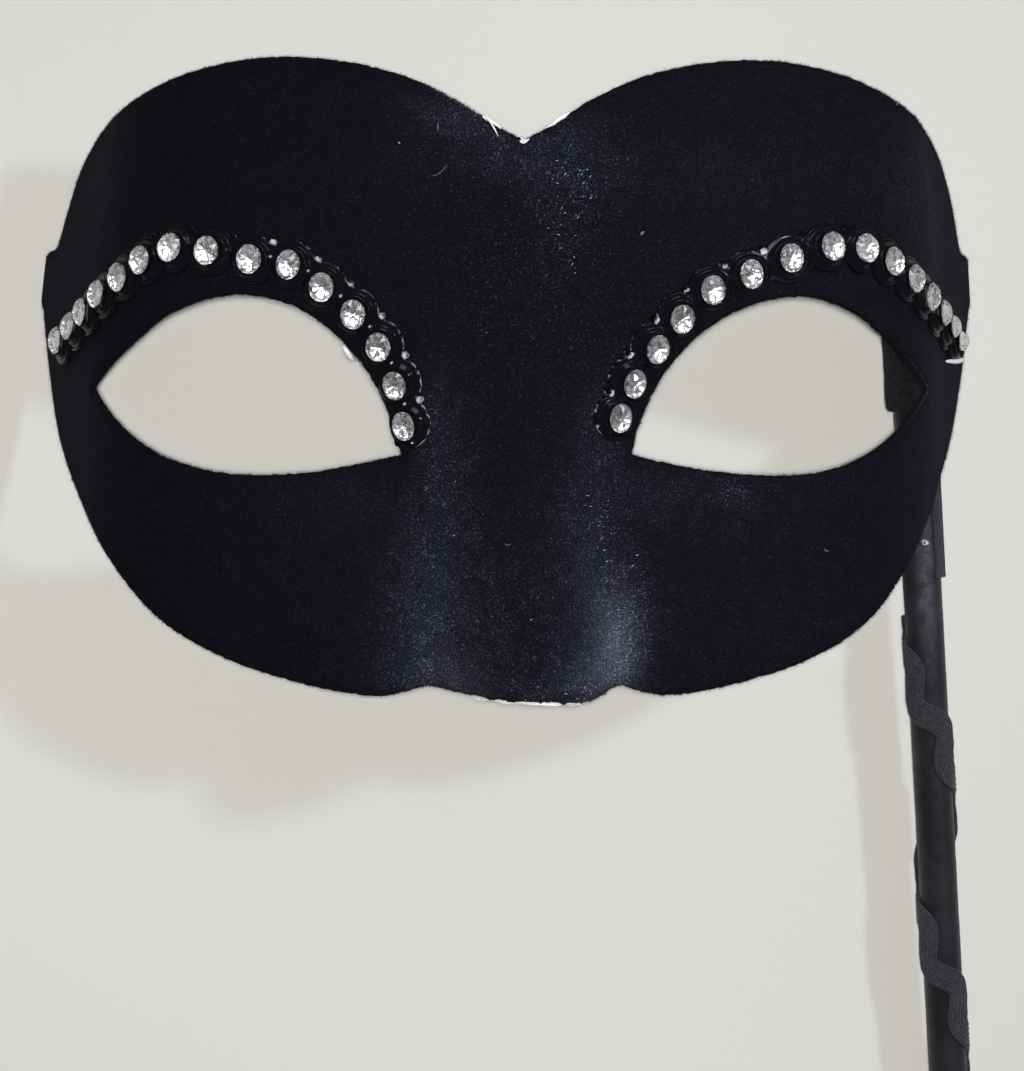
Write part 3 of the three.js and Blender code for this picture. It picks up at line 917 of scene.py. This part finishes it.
def stripPoint(points, share):
    # a centripetal Catmull-Rom line, as the solids use
    last = len(points) - 1
    place = min(max(share, 0.0), 1.0) * last
    i = min(int(place), last - 1)
    weight = place - i
    here, there = points[i], points[i + 1]
    before = points[i - 1] if i > 0 else 2 * points[0] - points[1]
    after = points[i + 2] if i + 2 <= last else 2 * points[last] - points[last - 1]
    pairs = ((before, here), (here, there), (there, after))
    a, b, c = (max(np.sum((end - start) ** 2) ** 0.25, 1e-4) for start, end in pairs)
    leave = ((here - before) / a - (there - before) / (a + b) + (there - here) / b) * b
    arrive = ((there - here) / b - (after - here) / (b + c) + (after - there) / c) * b
    return (here + leave * weight + (-3 * here + 3 * there - 2 * leave - arrive) * weight ** 2
            + (2 * here - 2 * there + leave + arrive) * weight ** 3)


def stripLine(side, k):
    points = np.array(trimPoints[side], float)
    share = min(max(k / trim["last"], 0.0), 1.0)
    ahead = unit(stripPoint(points, share + 1e-4) - stripPoint(points, share - 1e-4))
    return stripPoint(points, share) + ahead * (k - share * trim["last"]) * trim["pitch"], ahead


def trimHeight(offset, brow):
    # the strip's relief over one dish, from the stone's middle: offset along, brow across towards the brow
    away = np.hypot(offset, brow)
    cone = trim["rimHeight"] + trim["cone"] * (1 - smooth(away, trim["coneFrom"], trim["coneTo"]))
    facing = smooth(brow / np.maximum(away, 0.1), -0.2, 0.6)
    ring = bell(away, trim["ringAt"], trim["ringWidth"]) * (trim["ringLow"] + trim["ringHigh"] * facing)
    height = np.where(away < trim["seat"], trim["seatHeight"], cone + ring)
    along = trim["pitch"] / 2 - np.abs(offset)
    bead = np.hypot(along * 1.15, (brow - trim["beadAt"]) * 0.85) / trim["bead"]
    height = np.maximum(height, domed(bead, trim["beadFoot"], trim["beadHeight"]))
    pip = np.hypot(along, brow - trim["pipAt"]) / trim["pip"]
    return np.maximum(height, domed(pip, trim["pipFoot"], trim["pipHeight"]))


# painted glints: how white the strip's brow edge is painted, least and more, where its beads are painted
# shining, and its pips
trimGlintPaint = {
    "left": {"least": 0.40, "more": 0.32, "beadAt": 3.15, "pip": 0.8},
    "right": {"least": 0.22, "more": 0.42, "beadAt": 2.65, "pip": 0.0},
}
# how far the painted glints reach round the edge, pips and beads, and the cups between which they end
glintReach = {"edge": 0.17, "above": 0.4, "pip": 0.3, "pipAt": 0.75, "beadAlong": 0.6, "beadShift": 0.15,
             "beadAcross": 0.55, "uneven": 0.15, "from": 5.6, "to": 7.0}


def trimGlint(side, k, offset, brow, room):
    # painted highlights: how far the strip's brow edge, its beads and its pips are painted white as glints
    paintedTone, reach = trimGlintPaint[side], glintReach
    noseward = 1 - smooth(np.full_like(brow, k), reach["from"], reach["to"])
    patchy = 0.5 + 0.5 * math.sin(k * 9.0) * math.sin(k * 23.0 + 1.0)
    edge = bell(room, 0, reach["edge"]) * (brow > reach["above"]) * (paintedTone["least"] + paintedTone["more"] * patchy)
    along = trim["pitch"] / 2 - abs(offset)
    pip = paintedTone["pip"] * bell(along, 0, reach["pip"]) * bell(brow, reach["pipAt"], reach["pip"])
    bead = bell(along, reach["beadShift"], reach["beadAlong"])
    bead *= bell(brow, paintedTone["beadAt"], reach["beadAcross"]) * (1 - reach["uneven"] * (1 - math.sin(k * 5.0)))
    return noseward * np.maximum(np.maximum(edge, bead), pip)


def mergeClose(strip):
    bmesh.ops.remove_doubles(strip, verts=strip.verts, dist=5e-6)
    bmesh.ops.dissolve_degenerate(strip, edges=strip.edges, dist=1e-6)


def makeTrim(side):
    browSide = 1 if side == "right" else -1
    dish, pitch, last = trim["dish"], trim["pitch"], trim["last"]
    ends = dish / pitch * (1 - np.cos(np.linspace(0, math.pi / 2, trim["columns"] // 2 + 6)))
    ks = np.concatenate([ends - dish / pitch, np.linspace(0, last, last * trim["columns"] + 1)[1:-1],
                         last + dish / pitch - ends[::-1]])
    rows = np.sin(np.linspace(-math.pi / 2, math.pi / 2, 2 * trim["rows"] + 1))
    rows = trim["crowding"] * rows + (1 - trim["crowding"]) * np.linspace(-1, 1, len(rows))
    us, vs, tops, glints = [], [], [], []
    for k in ks:
        middle, ahead = stripLine(side, k)
        offset = (k - min(max(round(k), 0), last)) * pitch
        eyeHalf = math.sqrt(max(dish ** 2 - offset ** 2, 0.0))
        if 0 < k < last:
            eyeHalf = max(eyeHalf, trim["waist"])
        browHalf = eyeHalf
        if side == "left":
            # cut back to the eye's rim beside its first cups
            eyeHalf = min(eyeHalf, trim["eyeSide"] + trim["eyeSideMore"] * float(smooth(k, 0.5, 1.6)))
        beadGap = pitch / 2 - abs(offset)
        if 0 < k < last and beadGap < trim["bead"]:
            browHalf = max(eyeHalf, trim["beadReach"] + math.sqrt(trim["bead"] ** 2 - beadGap ** 2))
        brow = np.where(rows > 0, rows * browHalf, rows * eyeHalf)
        room = np.where(rows > 0, browHalf, eyeHalf) - np.abs(brow)
        height = trimHeight(np.full_like(brow, offset), brow)
        rounding = domed(1 - np.clip(room / trim["round"], 0, 1))
        us.append(middle[0] - brow * browSide * ahead[1])
        vs.append(middle[1] + brow * browSide * ahead[0])
        tops.append(trim["edge"] + (height - trim["edge"]) * rounding)
        glints.append(trimGlint(side, k, offset, brow, room))
    us, vs, tops, glints = map(np.array, (us, vs, tops, glints))
    columns, across = us.shape
    points = [offMask(us, vs, height).reshape(-1, 3) for height in (tops, np.full_like(us, trim["lift"]))]

    def at(i, j, layer):
        return (0 if layer else us.size) + i * across + j

    faces = slabFaces(columns - 1, across - 1, at)
    piece = newPiece(side + "Trim", toFrame(np.concatenate(points)), faces, [trimFinish])
    paint(piece, "glint", np.concatenate([glints.ravel(), np.zeros(us.size)]))
    return faceOut(piece, mergeClose)


stone = {
    "narrow": 0.85, "low": 0.72, "radius": 2.4, "table": 1.1, "shoulder": 1.9, "tip": 1.45, "girdle": 2.05,
    "rim": 0.12, "shoulderTop": 2.78, "top": 3.15, "waist": 0.55, "waistDrop": 0.09,
    "wobble": 0.09, "wobbleSeed": 3, "spinSeed": 5,
}


def makeGem():
    # a round brilliant with a foiled back, standing on its tip, as rings of (radius, height, sides, turn)
    radius, girdle = stone["radius"], stone["girdle"]
    rings = [(stone["table"], stone["top"], 8, 0.0), (stone["shoulder"], stone["shoulderTop"], 8, 0.5),
             (radius, girdle + stone["rim"], 16, 0.0), (radius, girdle, 16, 0.0),
             (radius * stone["waist"], (girdle + stone["tip"]) / 2 - stone["waistDrop"], 8, 0.5)]
    points, first = [], []
    for wide, height, sides, turn in rings:
        first.append(len(points))
        angles = [(i + turn) * 2 * math.pi / sides for i in range(sides)]
        points += [(wide * math.cos(angle), wide * math.sin(angle), height) for angle in angles]
    points.append((0, 0, stone["tip"]))
    table, star, upper, lower, back = first
    tip = len(points) - 1
    faces = [tuple(table + i for i in range(8))]
    for i in range(8):
        j, near, far = (i + 1) % 8, upper + 2 * i + 1, upper + (2 * i + 2) % 16
        faces += [(table + i, star + i, table + j), (table + i, star + (i - 1) % 8, upper + 2 * i, star + i),
                  (star + i, upper + 2 * i, near), (star + i, near, far)]
    crown = len(faces)
    faces += [(upper + i, lower + i, lower + (i + 1) % 16, upper + (i + 1) % 16) for i in range(16)]
    for i in range(8):
        near, far = lower + 2 * i + 1, lower + (2 * i + 2) % 16
        faces += [(lower + 2 * i, back + i, near), (near, back + i, far),
                  (lower + 2 * i, back + (i - 1) % 8, tip, back + i)]
    slots = [0] * crown + [1] * (len(faces) - crown)
    gem = newPiece("gemPattern", np.array(points) * mm, faces, [crystalFinish, foilFinish], slots, soft=False)
    return faceOut(gem)


def stoneTree():
    # one stone at each point, facing out, turned and tilted a little at random, and scaled by its girth
    inputs = {"Stone": ("Object", None), "Tilt": ("Float", 0.05), "Seed": ("Int", 3)}
    tree, given = newTree("stoneSetting", inputs)
    aim = swayed(tree, attribute(tree, "facing", "FLOAT_VECTOR"), given["Tilt"], given["Seed"])
    spin = randomShare(tree, 0.0, 6.283, stone["spinSeed"])
    spun = addNode(tree, "FunctionNodeAxisAngleToRotation", None, {"Axis": (0, 0, 1), "Angle": spin})
    sockets = {"Rotation": spun, "Vector": aim}
    turn = addNode(tree, "FunctionNodeAlignRotationToVector", {"axis": "Z"}, sockets)
    copies = addNode(tree, "GeometryNodeInstanceOnPoints", None, {
        "Points": given["Geometry"], "Instance": objectMesh(tree, given["Stone"]), "Rotation": turn,
    })
    oval = addNode(tree, "GeometryNodeScaleInstances", None, {
        "Instances": copies, "Scale": attribute(tree, "girth", "FLOAT_VECTOR"),
        "Center": addNode(tree, "GeometryNodeInputPosition"), "Local Space": False,
    })
    endTree(tree, oval)
    return tree


def makeStones():
    places, normals, girths = [], [], []
    for side in ("left", "right"):
        for k in range(trim["last"] + 1):
            (u, v), _ = stripLine(side, k)
            places.append(toFrame(onMask(u, v, shell["wall"])))
            normals.append(outward(np.array(u), np.array(v)))
            narrow = stone["narrow"] + (1 - stone["narrow"]) * float(smooth(k, 5, 8.5))
            low = 1 - (1 - stone["low"]) * float(smooth(k, 11, 14)) if side == "right" else 1.0
            girths.append((narrow, low, 1.0))
    host = newPiece("stonePlaces", places, [])
    paint(host, "facing", normals, "FLOAT_VECTOR")
    paint(host, "girth", girths, "FLOAT_VECTOR")
    gem = makeGem()
    values = {"Stone": gem, "Tilt": stone["wobble"], "Seed": stone["wobbleSeed"]}
    piece = grown("rhinestones", host, stoneTree(), values)
    for spare in (host, gem):
        bpy.data.objects.remove(spare)
    return piece


stick = {
    "radius": 3.35, "length": 300.0, "top": (68.9, 42.8, 13.0), "tilt": math.radians(3.4), "rings": 640,
    "sides": 72, "endRound": 0.35, "clothEnd": 50.2, "clothStep": 0.1,
    "ribbonPitch": 11.0, "ribbonStep": 0.05, "ribbonEdge": 0.06, "ribbonSlope": 0.6, "gleamAngle": 1.57,
    "gleamWidth": 0.5, "gleamMiddle": 47.0, "gleamReach": 15.0, "gleamLeast": 0.07, "gleamMore": 0.53,
}
braid = {
    "width": 4.2, "pitch": 45.5, "crossing": 74.6, "wave": 1.4, "waves": 4, "from": -0.39, "to": 3.95,
    "step": 0.0115, "start": math.radians(100), "ribs": 12, "ribRadius": 0.25, "sides": 6, "stand": 0.36,
    "ridge": 0.1, "swell": 0.05, "swells": 400, "swellShift": 2.1, "sway": 0.03, "sways": 90,
}
braidTail = {"from": 31.5, "to": 50.4, "step": 0.4, "angle": math.radians(32), "ribs": 9, "width": 2.8,
             "sway": 0.02, "sways": 1.3}
sleeve = {
    "inner": 3.45, "outer": 4.7, "above": 1.0, "length": 20.9, "opening": math.radians(135), "rings": 70,
    "columns": 90, "edge": 2.5, "edgeThin": 0.45, "edgeRise": 0.5, "ragged": 0.25,
    "lump": (0.16, 2.2, 0.35), "tuft": (0.07, 9, 1.6),
}
glue = {
    "radius": 0.66, "down": 44.0, "side": 0.2, "gap": 0.1, "sag": 0.12, "wide": 1.05, "up": 0.95, "low": 0.8,
    "flat": 0.9, "drawn": 0.15,
}
sink = math.asin((stick["top"][2] - stick["radius"]) / (stick["length"] * math.cos(stick["tilt"])))


def alongStick(points):
    # stick's own frame (length along -Y, Z to the viewer) to the mask's
    x, y, z = np.asarray(points, float).T
    tilt = stick["tilt"]
    x, y = x * math.cos(tilt) - y * math.sin(tilt), x * math.sin(tilt) + y * math.cos(tilt)
    y, z = y * math.cos(sink) - z * math.sin(sink), y * math.sin(sink) + z * math.cos(sink)
    return np.stack([x, y, z], -1) + np.array(stick["top"])


def roundStick(radius, angle, down):
    # points round the stick's own axis
    return np.stack([radius * np.cos(angle), -down, radius * np.sin(angle)], -1)


# torn plastic at the notch, under the nose and at the left eye's rim, lint on the flock and a painted
# highlight on the right strip's cut end, a white bar, each a line of (u, v, height above the shell's outer
# face, radius)
tornPlastic = [
    [(-6.6, 67.5, -0.25, 0.10), (-6.0, 67.0, 0.00, 0.22), (-5.3, 66.3, 0.12, 0.24), (-4.6, 65.9, 0.05, 0.28),
     (-3.6, 65.2, -0.25, 0.12)],
    [(3.4, 65.2, -0.3, 0.08), (4.6, 65.9, -0.1, 0.17), (5.6, 66.6, -0.05, 0.33), (6.6, 67.3, -0.1, 0.30),
     (7.6, 67.9, -0.3, 0.07)],
    [(-0.9, 63.2, -0.2, 0.10), (0.0, 62.9, -0.05, 0.27), (0.9, 63.5, -0.2, 0.12)],
    [(-5.7, 66.6, 0.10, 0.12), (-5.1, 65.6, 0.40, 0.15), (-4.6, 64.7, 0.50, 0.12), (-4.1, 63.7, 0.42, 0.03)],
    [(-8.8, -25.6, -0.4, 0.06), (-7.8, -25.85, -0.35, 0.18), (-6.7, -26.0, -0.35, 0.18),
     (-5.8, -25.75, -0.3, 0.06)],
    [(-5.0, -26.05, -0.4, 0.06), (-3.8, -26.3, -0.35, 0.17), (-2.2, -26.35, -0.35, 0.16),
     (-1.0, -26.35, -0.35, 0.11), (0.6, -26.42, -0.35, 0.17), (2.6, -26.5, -0.35, 0.17),
     (4.6, -26.6, -0.35, 0.19), (5.6, -26.5, -0.35, 0.07)],
    [(5.9, -26.5, -0.4, 0.10), (7.0, -26.65, -0.35, 0.22), (8.3, -26.7, -0.35, 0.22),
     (9.8, -26.4, -0.4, 0.07)],
    [(-29.4, 30.3, -0.6, 0.12), (-28.9, 29.5, -0.5, 0.42), (-28.4, 28.7, -0.6, 0.45),
     (-28.0, 28.1, -0.7, 0.12)],
]
lint = [
    [(-13.9, 66.1, 0.35, 0.05), (-13.8, 65.3, 0.5, 0.08), (-13.9, 64.6, 0.4, 0.05)],
    [(-14.8, 57.3, 0.35, 0.03), (-13.8, 57.6, 0.5, 0.07), (-13.0, 58.2, 0.55, 0.06),
     (-12.4, 59.2, 0.4, 0.02)],
    [(18.7, 48.1, 0.2, 0.12), (19.0, 48.4, 0.25, 0.26), (19.3, 48.6, 0.2, 0.10)],
    [(70.2, 72.3, 0.2, 0.1), (70.5, 72.5, 0.3, 0.2), (70.8, 72.7, 0.2, 0.1)],
    [(-3.1, -1.3, 0.3, 0.04), (-2.7, -1.6, 0.4, 0.07), (-2.2, -1.4, 0.3, 0.04)],
    [(50.2, -2.2, 0.3, 0.08), (50.6, -2.5, 0.4, 0.16), (50.9, -2.4, 0.3, 0.06)],
]
cutEndGlint = [
    (88.2, 30.1, 0.25, 0.20), (89.8, 30.2, 0.60, 0.36), (92.3, 30.3, 1.15, 0.42), (94.5, 30.65, 1.5, 0.40),
    (95.9, 30.95, 1.6, 0.24),
]
looseFibres = {"seed": 7, "share": 13, "length": 0.45, "radius": 0.048, "height": 0.42, "spread": 0.6,
               "turns": (-0.6, 0.9), "lengths": (0.25, 0.6), "girths": (0.6, 1.3)}
threadFlat = 0.7


def looseLines():
    # short fibres painted pale as glints, strewn over the glint patches
    pick = np.random.default_rng(looseFibres["seed"])
    spread, height = looseFibres["spread"], looseFibres["height"]
    lines = []
    for middleU, middleV, halfU, halfV, strength in flockGlintPatches:
        for _ in range(round(looseFibres["share"] * strength)):
            u, v = middleU + halfU * pick.normal() * spread, middleV + halfV * pick.normal() * spread
            way = pick.uniform(*looseFibres["turns"])
            half = looseFibres["length"] * pick.uniform(*looseFibres["lengths"])
            thick = looseFibres["radius"] * pick.uniform(*looseFibres["girths"])
            ahead, aside = half * math.cos(way), half * math.sin(way)
            lines.append([(u + share * ahead, v + share * aside, height, size * thick)
                          for share, size in ((-1, 0.5), (0, 1.0), (1, 0.5))])
    return lines


def makeThreads(name, lines, finish, sides=7):
    # thin closed tubes along the lines, a little flattened towards the mask
    points, faces = [], []
    for line in lines:
        line = np.array(line, float)
        smoothed = np.concatenate([throughPoints(line, 5), line[-1:]])
        places = offMask(*smoothed.T[:3])
        ahead = unit(np.gradient(places, axis=0))
        side = unit(np.cross(ahead, (0.0, 0.0, 1.0)))
        up = np.cross(side, ahead)
        first = len(points)
        for i, radius in enumerate(smoothed[:, 3]):
            for j in range(sides):
                angle = 2 * math.pi * j / sides
                way = side[i] * math.cos(angle) + up[i] * math.sin(angle) * threadFlat
                points.append(places[i] + way * radius)
        faces += tubeFaces(len(places), sides, first)
        faces.append(tuple(first + j for j in range(sides)))
        faces.append(tuple(len(points) - 1 - j for j in range(sides)))
    return faceOut(newPiece(name, toFrame(points), faces, [finish]))


def makeStick():
    length, sides = stick["length"], stick["sides"]
    down = np.linspace(0, length, stick["rings"] + 1)
    angle = np.linspace(0, 2 * math.pi, sides, endpoint=False)
    downs, angles = np.meshgrid(down, angle, indexing="ij")
    lap = (downs / stick["ribbonPitch"] - angles / (2 * math.pi)) % 1.0
    ribbon = smooth(lap, 0.0, stick["ribbonEdge"]) * (1 - stick["ribbonSlope"] * lap)
    radius = stick["radius"] - stick["ribbonStep"] + stick["ribbonStep"] * ribbon
    radius = radius + stick["clothStep"] * (1 - smooth(downs, stick["clothEnd"] - 0.25, stick["clothEnd"]))
    edge = np.clip(np.minimum(downs, length - downs) / stick["endRound"], 0, 1)
    radius = radius - stick["endRound"] * (1 - domed(1 - edge))
    points = roundStick(radius, angles, downs).reshape(-1, 3)
    faces = tubeFaces(len(down), sides)
    middle, low = len(points), stick["rings"] * sides
    points = np.concatenate([points, [[0, 0, 0], [0, -length, 0]]])
    for j in range(sides):
        k = (j + 1) % sides
        faces += [(middle, k, j), (middle + 1, low + j, low + k)]
    piece = faceOut(newPiece("satinStick", toFrame(alongStick(points)), faces, [satinFinish]))
    # painted highlight: the satin's gleam, strongest on the side facing the lens and near the top
    near = stick["gleamLeast"] + stick["gleamMore"] * bell(downs, stick["gleamMiddle"], stick["gleamReach"])
    gleam = bell(angles, stick["gleamAngle"], stick["gleamWidth"]) * near
    paint(piece, "gleam", np.concatenate([gleam.ravel(), [0.0, 0.0]]))
    return piece


def braidLine(turns):
    girth = 2 * math.pi * stick["radius"]
    length = math.hypot(girth, braid["pitch"])
    aside = braid["wave"] * np.sin(2 * math.pi * braid["waves"] * turns)
    right = girth * turns + aside * braid["pitch"] / length
    down = braid["crossing"] + braid["pitch"] * turns - aside * girth / length
    return np.stack([right, down], -1)


def braidPoint(turns, across, height):
    # across the braid and above the stick, at a place given in turns
    step = 0.002
    along = unit(braidLine(turns + step) - braidLine(turns - step))
    middle = braidLine(turns)
    angle = braid["start"] - (middle[:, 0] + across * along[:, 1]) / stick["radius"]
    down = middle[:, 1] - across * along[:, 0]
    return roundStick(stick["radius"] + height, angle, down)


def makeBraid():
    points, edges = [], []

    def addRib(line):
        start = len(points)
        points.extend(toFrame(alongStick(line)))
        edges.extend((start + i, start + i + 1) for i in range(len(line) - 1))

    turns = np.arange(braid["from"], braid["to"], braid["step"])
    for rib in range(braid["ribs"]):
        across = (rib / (braid["ribs"] - 1) - 0.5) * (braid["width"] - 2 * braid["ribRadius"])
        swell = braid["swell"] * np.sin(turns * braid["swells"] + rib * braid["swellShift"])
        height = braid["stand"] + braid["ridge"] * (rib % 2) + swell
        sway = braid["sway"] * np.sin(turns * braid["sways"] + rib)
        addRib(braidPoint(turns, across + sway, height))
    # the braid's glued end lies straight down the stick's right side
    downs = np.arange(braidTail["from"], braidTail["to"], braidTail["step"])
    for rib in range(braidTail["ribs"]):
        across = (rib / (braidTail["ribs"] - 1) - 0.5) * braidTail["width"]
        sway = braidTail["sway"] * np.sin(downs * braidTail["sways"])
        angle = braidTail["angle"] - across / stick["radius"] + sway
        radius = stick["radius"] + stick["clothStep"] + braid["stand"] + braid["ridge"] * (rib % 2)
        addRib(roundStick(radius, angle, downs))
    host = newPiece("braidPaths", points, [], edges=edges)
    tree, given = newTree("ribbedBraid", {"Rib radius": ("Float", 0.0003), "Sides": ("Int", 6)})
    lines = addNode(tree, "GeometryNodeMeshToCurve", None, {"Mesh": given["Geometry"]})
    ring = addNode(tree, "GeometryNodeCurvePrimitiveCircle", None,
                   {"Resolution": given["Sides"], "Radius": given["Rib radius"]})
    sockets = {"Curve": lines, "Profile Curve": ring, "Fill Caps": True}
    endTree(tree, addNode(tree, "GeometryNodeCurveToMesh", None, sockets), yarnFinish)
    values = {"Rib radius": braid["ribRadius"] * mm, "Sides": braid["sides"]}
    piece = grown("rickrackBraid", host, tree, values)
    bpy.data.objects.remove(host)
    piece.data.polygons.foreach_set("use_smooth", [True] * len(piece.data.polygons))
    return piece


def makeSleeve():
    # felt wrapped most of the way round the stick's top, open where the mask's wall is
    rings, columns, inner = sleeve["rings"], sleeve["columns"], sleeve["inner"]
    wallward = math.pi / 2 - shell["sideSlope"]
    start = wallward + sleeve["opening"] / 2
    end = wallward - sleeve["opening"] / 2 + 2 * math.pi
    points = []
    for i in range(rings + 1):
        down = -sleeve["above"] + (sleeve["length"] + sleeve["above"]) * i / rings
        for j in range(columns + 1):
            angle = start + (end - start) * j / columns
            x, z = math.cos(angle), math.sin(angle)
            lump = sum(most * noise.noise((x * girth, down * along, z * girth))
                       for most, girth, along in (sleeve["lump"], sleeve["tuft"]))
            close = min(i, rings - i, j, columns - j) / sleeve["edge"]
            thick = 1 - sleeve["edgeThin"] * (1 - min(close, 1)) ** 2
            torn = sleeve["ragged"] * noise.noise((angle * 3, 7.1, i // rings)) if i in (0, rings) else 0
            low = inner + sleeve["edgeRise"] * (1 - thick)
            for radius in (low, inner + (sleeve["outer"] - inner + lump) * thick):
                points.append((radius * x, -(down + torn), radius * z))

    def at(i, j, layer):
        return 2 * (i * (columns + 1) + j) + layer

    faces = slabFaces(rings, columns, at)
    return faceOut(newPiece("feltSleeve", toFrame(alongStick(points)), faces, [feltFinish]))


def makeGlue():
    # a drop with a drawn-out tail towards the stick
    away = math.sqrt((stick["radius"] + glue["radius"] + glue["gap"]) ** 2 - glue["side"] ** 2)
    middle = Vector((glue["side"], -glue["down"], away))
    ball = bmesh.new()
    bmesh.ops.create_icosphere(ball, subdivisions=4, radius=glue["radius"])
    points = []
    for vert in ball.verts:
        x, y, z = vert.co
        sag = 1 + glue["sag"] * noise.noise(vert.co * 1.7)
        tall = glue["low"] if y < 0 else glue["up"]
        drop = Vector((x * glue["wide"] * sag, y * sag * tall, z * glue["flat"] - glue["drawn"] * max(y, 0)))
        points.append(drop + middle)
    faces = [tuple(vert.index for vert in face.verts) for face in ball.faces]
    ball.free()
    return faceOut(newPiece("glueDrop", toFrame(alongStick(points)), faces, [glueFinish]))


def makeFloor():
    corners = [(-3, -3, 0), (3, -3, 0), (3, 3, 0), (-3, 3, 0)]
    floor = newPiece("paleFloor", corners, [(0, 1, 2, 3)], [floorFinish])
    floor.location.z = -0.00005


def lightRoom():
    middle = Vector(roomLight["middle"])

    def towards(lamp):
        return Vector(lamp["towards"]).normalized() * lamp["distance"]

    addLamp("keyLight", middle + towards(keyLight), middle, keyLight)
    lens = Vector(camera["target"]) + lensward() * lensLight["distance"]
    flash = addLamp("lensLight", lens, camera["target"], lensLight)
    flash.visible_glossy = False
    # soft boxes that only the gloss and the crystal see
    for name, box in (("browLight", browLight), ("stoneLight", stoneLight), ("sillLight", sillLight)):
        lamp = addLamp(name, middle + towards(box), middle, box)
        lamp.visible_diffuse = False
        lamp.visible_glossy = name == "browLight"
    world = bpy.data.worlds.new("studioRoom")
    bpy.context.scene.world = world
    world.use_nodes = True
    tree = world.node_tree
    tree.nodes.clear()
    way = addNode(tree, "ShaderNodeTexCoord", output="Generated")
    rise = addNode(tree, "ShaderNodeSeparateXYZ", None, [way], "Z")
    window = tuple(Vector(roomLight["window"]).normalized())
    near = addNode(tree, "ShaderNodeVectorMath", {"operation": "DOT_PRODUCT"}, [way, window], "Value")
    strength = rise.ramp(*roomLight["rise"], roomLight["horizon"], roomLight["overhead"])
    strength = strength + near.ramp(*roomLight["windowEdge"]) * roomLight["windowGlow"]
    sockets = {"Color": rgb(*roomLight["tint"]), "Strength": strength}
    glow = addNode(tree, "ShaderNodeBackground", None, sockets)
    end = tree.nodes.new("ShaderNodeOutputWorld")
    tree.links.new(glow.socket, end.inputs["Surface"])
    bpy.context.scene.view_settings.view_transform = "Standard"


setCamera()
lightRoom()
print("camera and light are set")
flockFinish, pileFinish, insideFinish = map(newFinish, (blackFlock, flockPile, mattInside))
trimFinish, whiteFinish, brightFinish = map(newFinish, (glossTrim, whitePlasticAndGlint, brightFibre))
crystalFinish, foilFinish, satinFinish = map(newFinish, (clearCrystal, silverFoil, satinCover))
yarnFinish, feltFinish, glueFinish = map(newFinish, (braidYarn, brownFelt, clearGlue))
lintFinish, floorFinish = map(newFinish, (paleLint, paleFloor))
makeFloor()

maskShell = settle(makeShell(), "flock", "mask_shell")
addFibres("flockFibres", maskShell, pileFinish, "flock", {"radius": 0.022, "length": 0.42, "bend": 0.06},
          {"Density": 2.3e6, "Lean": 0.55, "Seed": 4}, "pile")
addFibres("rimFuzz", maskShell, pileFinish, "flock", {"radius": 0.04, "length": 0.55, "bend": 0.12},
          {"Density": 6e6, "Lean": 0.9, "Seed": 9}, "fuzz")
settle(makeThreads("tornPlastic", tornPlastic, whiteFinish), "flock")
settle(makeThreads("flockLint", lint, lintFinish), "flock")
# fibres painted pale to stand in for the flock's glints
settle(makeThreads("looseFibres", looseLines(), brightFinish, 5), "flock")
print("the mask with its flock is made")

# painted highlight: a white bar on the right strip's cut end
settle(makeThreads("stripEnd", [cutEndGlint], whiteFinish), "trim_black")
for side in ("left", "right"):
    settle(makeTrim(side), "trim_black", "trim_band_" + side)
stoneNodes = [f"rhinestone_{side}_{i + 1:02d}" for side in ("left", "right") for i in range(trim["last"] + 1)]
settle(makeStones(), "crystal", *stoneNodes)
print("the trim and its stones are made")

settle(makeStick(), "satin", "stick")
ribs = settle(makeBraid(), "braid", "stick_braid")
addFibres("braidFuzz", ribs, yarnFinish, "braid", {"radius": 0.016, "length": 0.28, "bend": 0.08},
          {"Density": 2.6e6, "Lean": 0.8, "Seed": 6})
felt = settle(makeSleeve(), "felt", "stick_sleeve")
addFibres("feltFuzz", felt, feltFinish, "felt", {"radius": 0.02, "length": 0.4, "bend": 0.15},
          {"Density": 4e6, "Lean": 0.9, "Seed": 8})
settle(makeGlue(), "hot_glue", "glue_bead")
print("the stick with its braid, felt and glue is made")
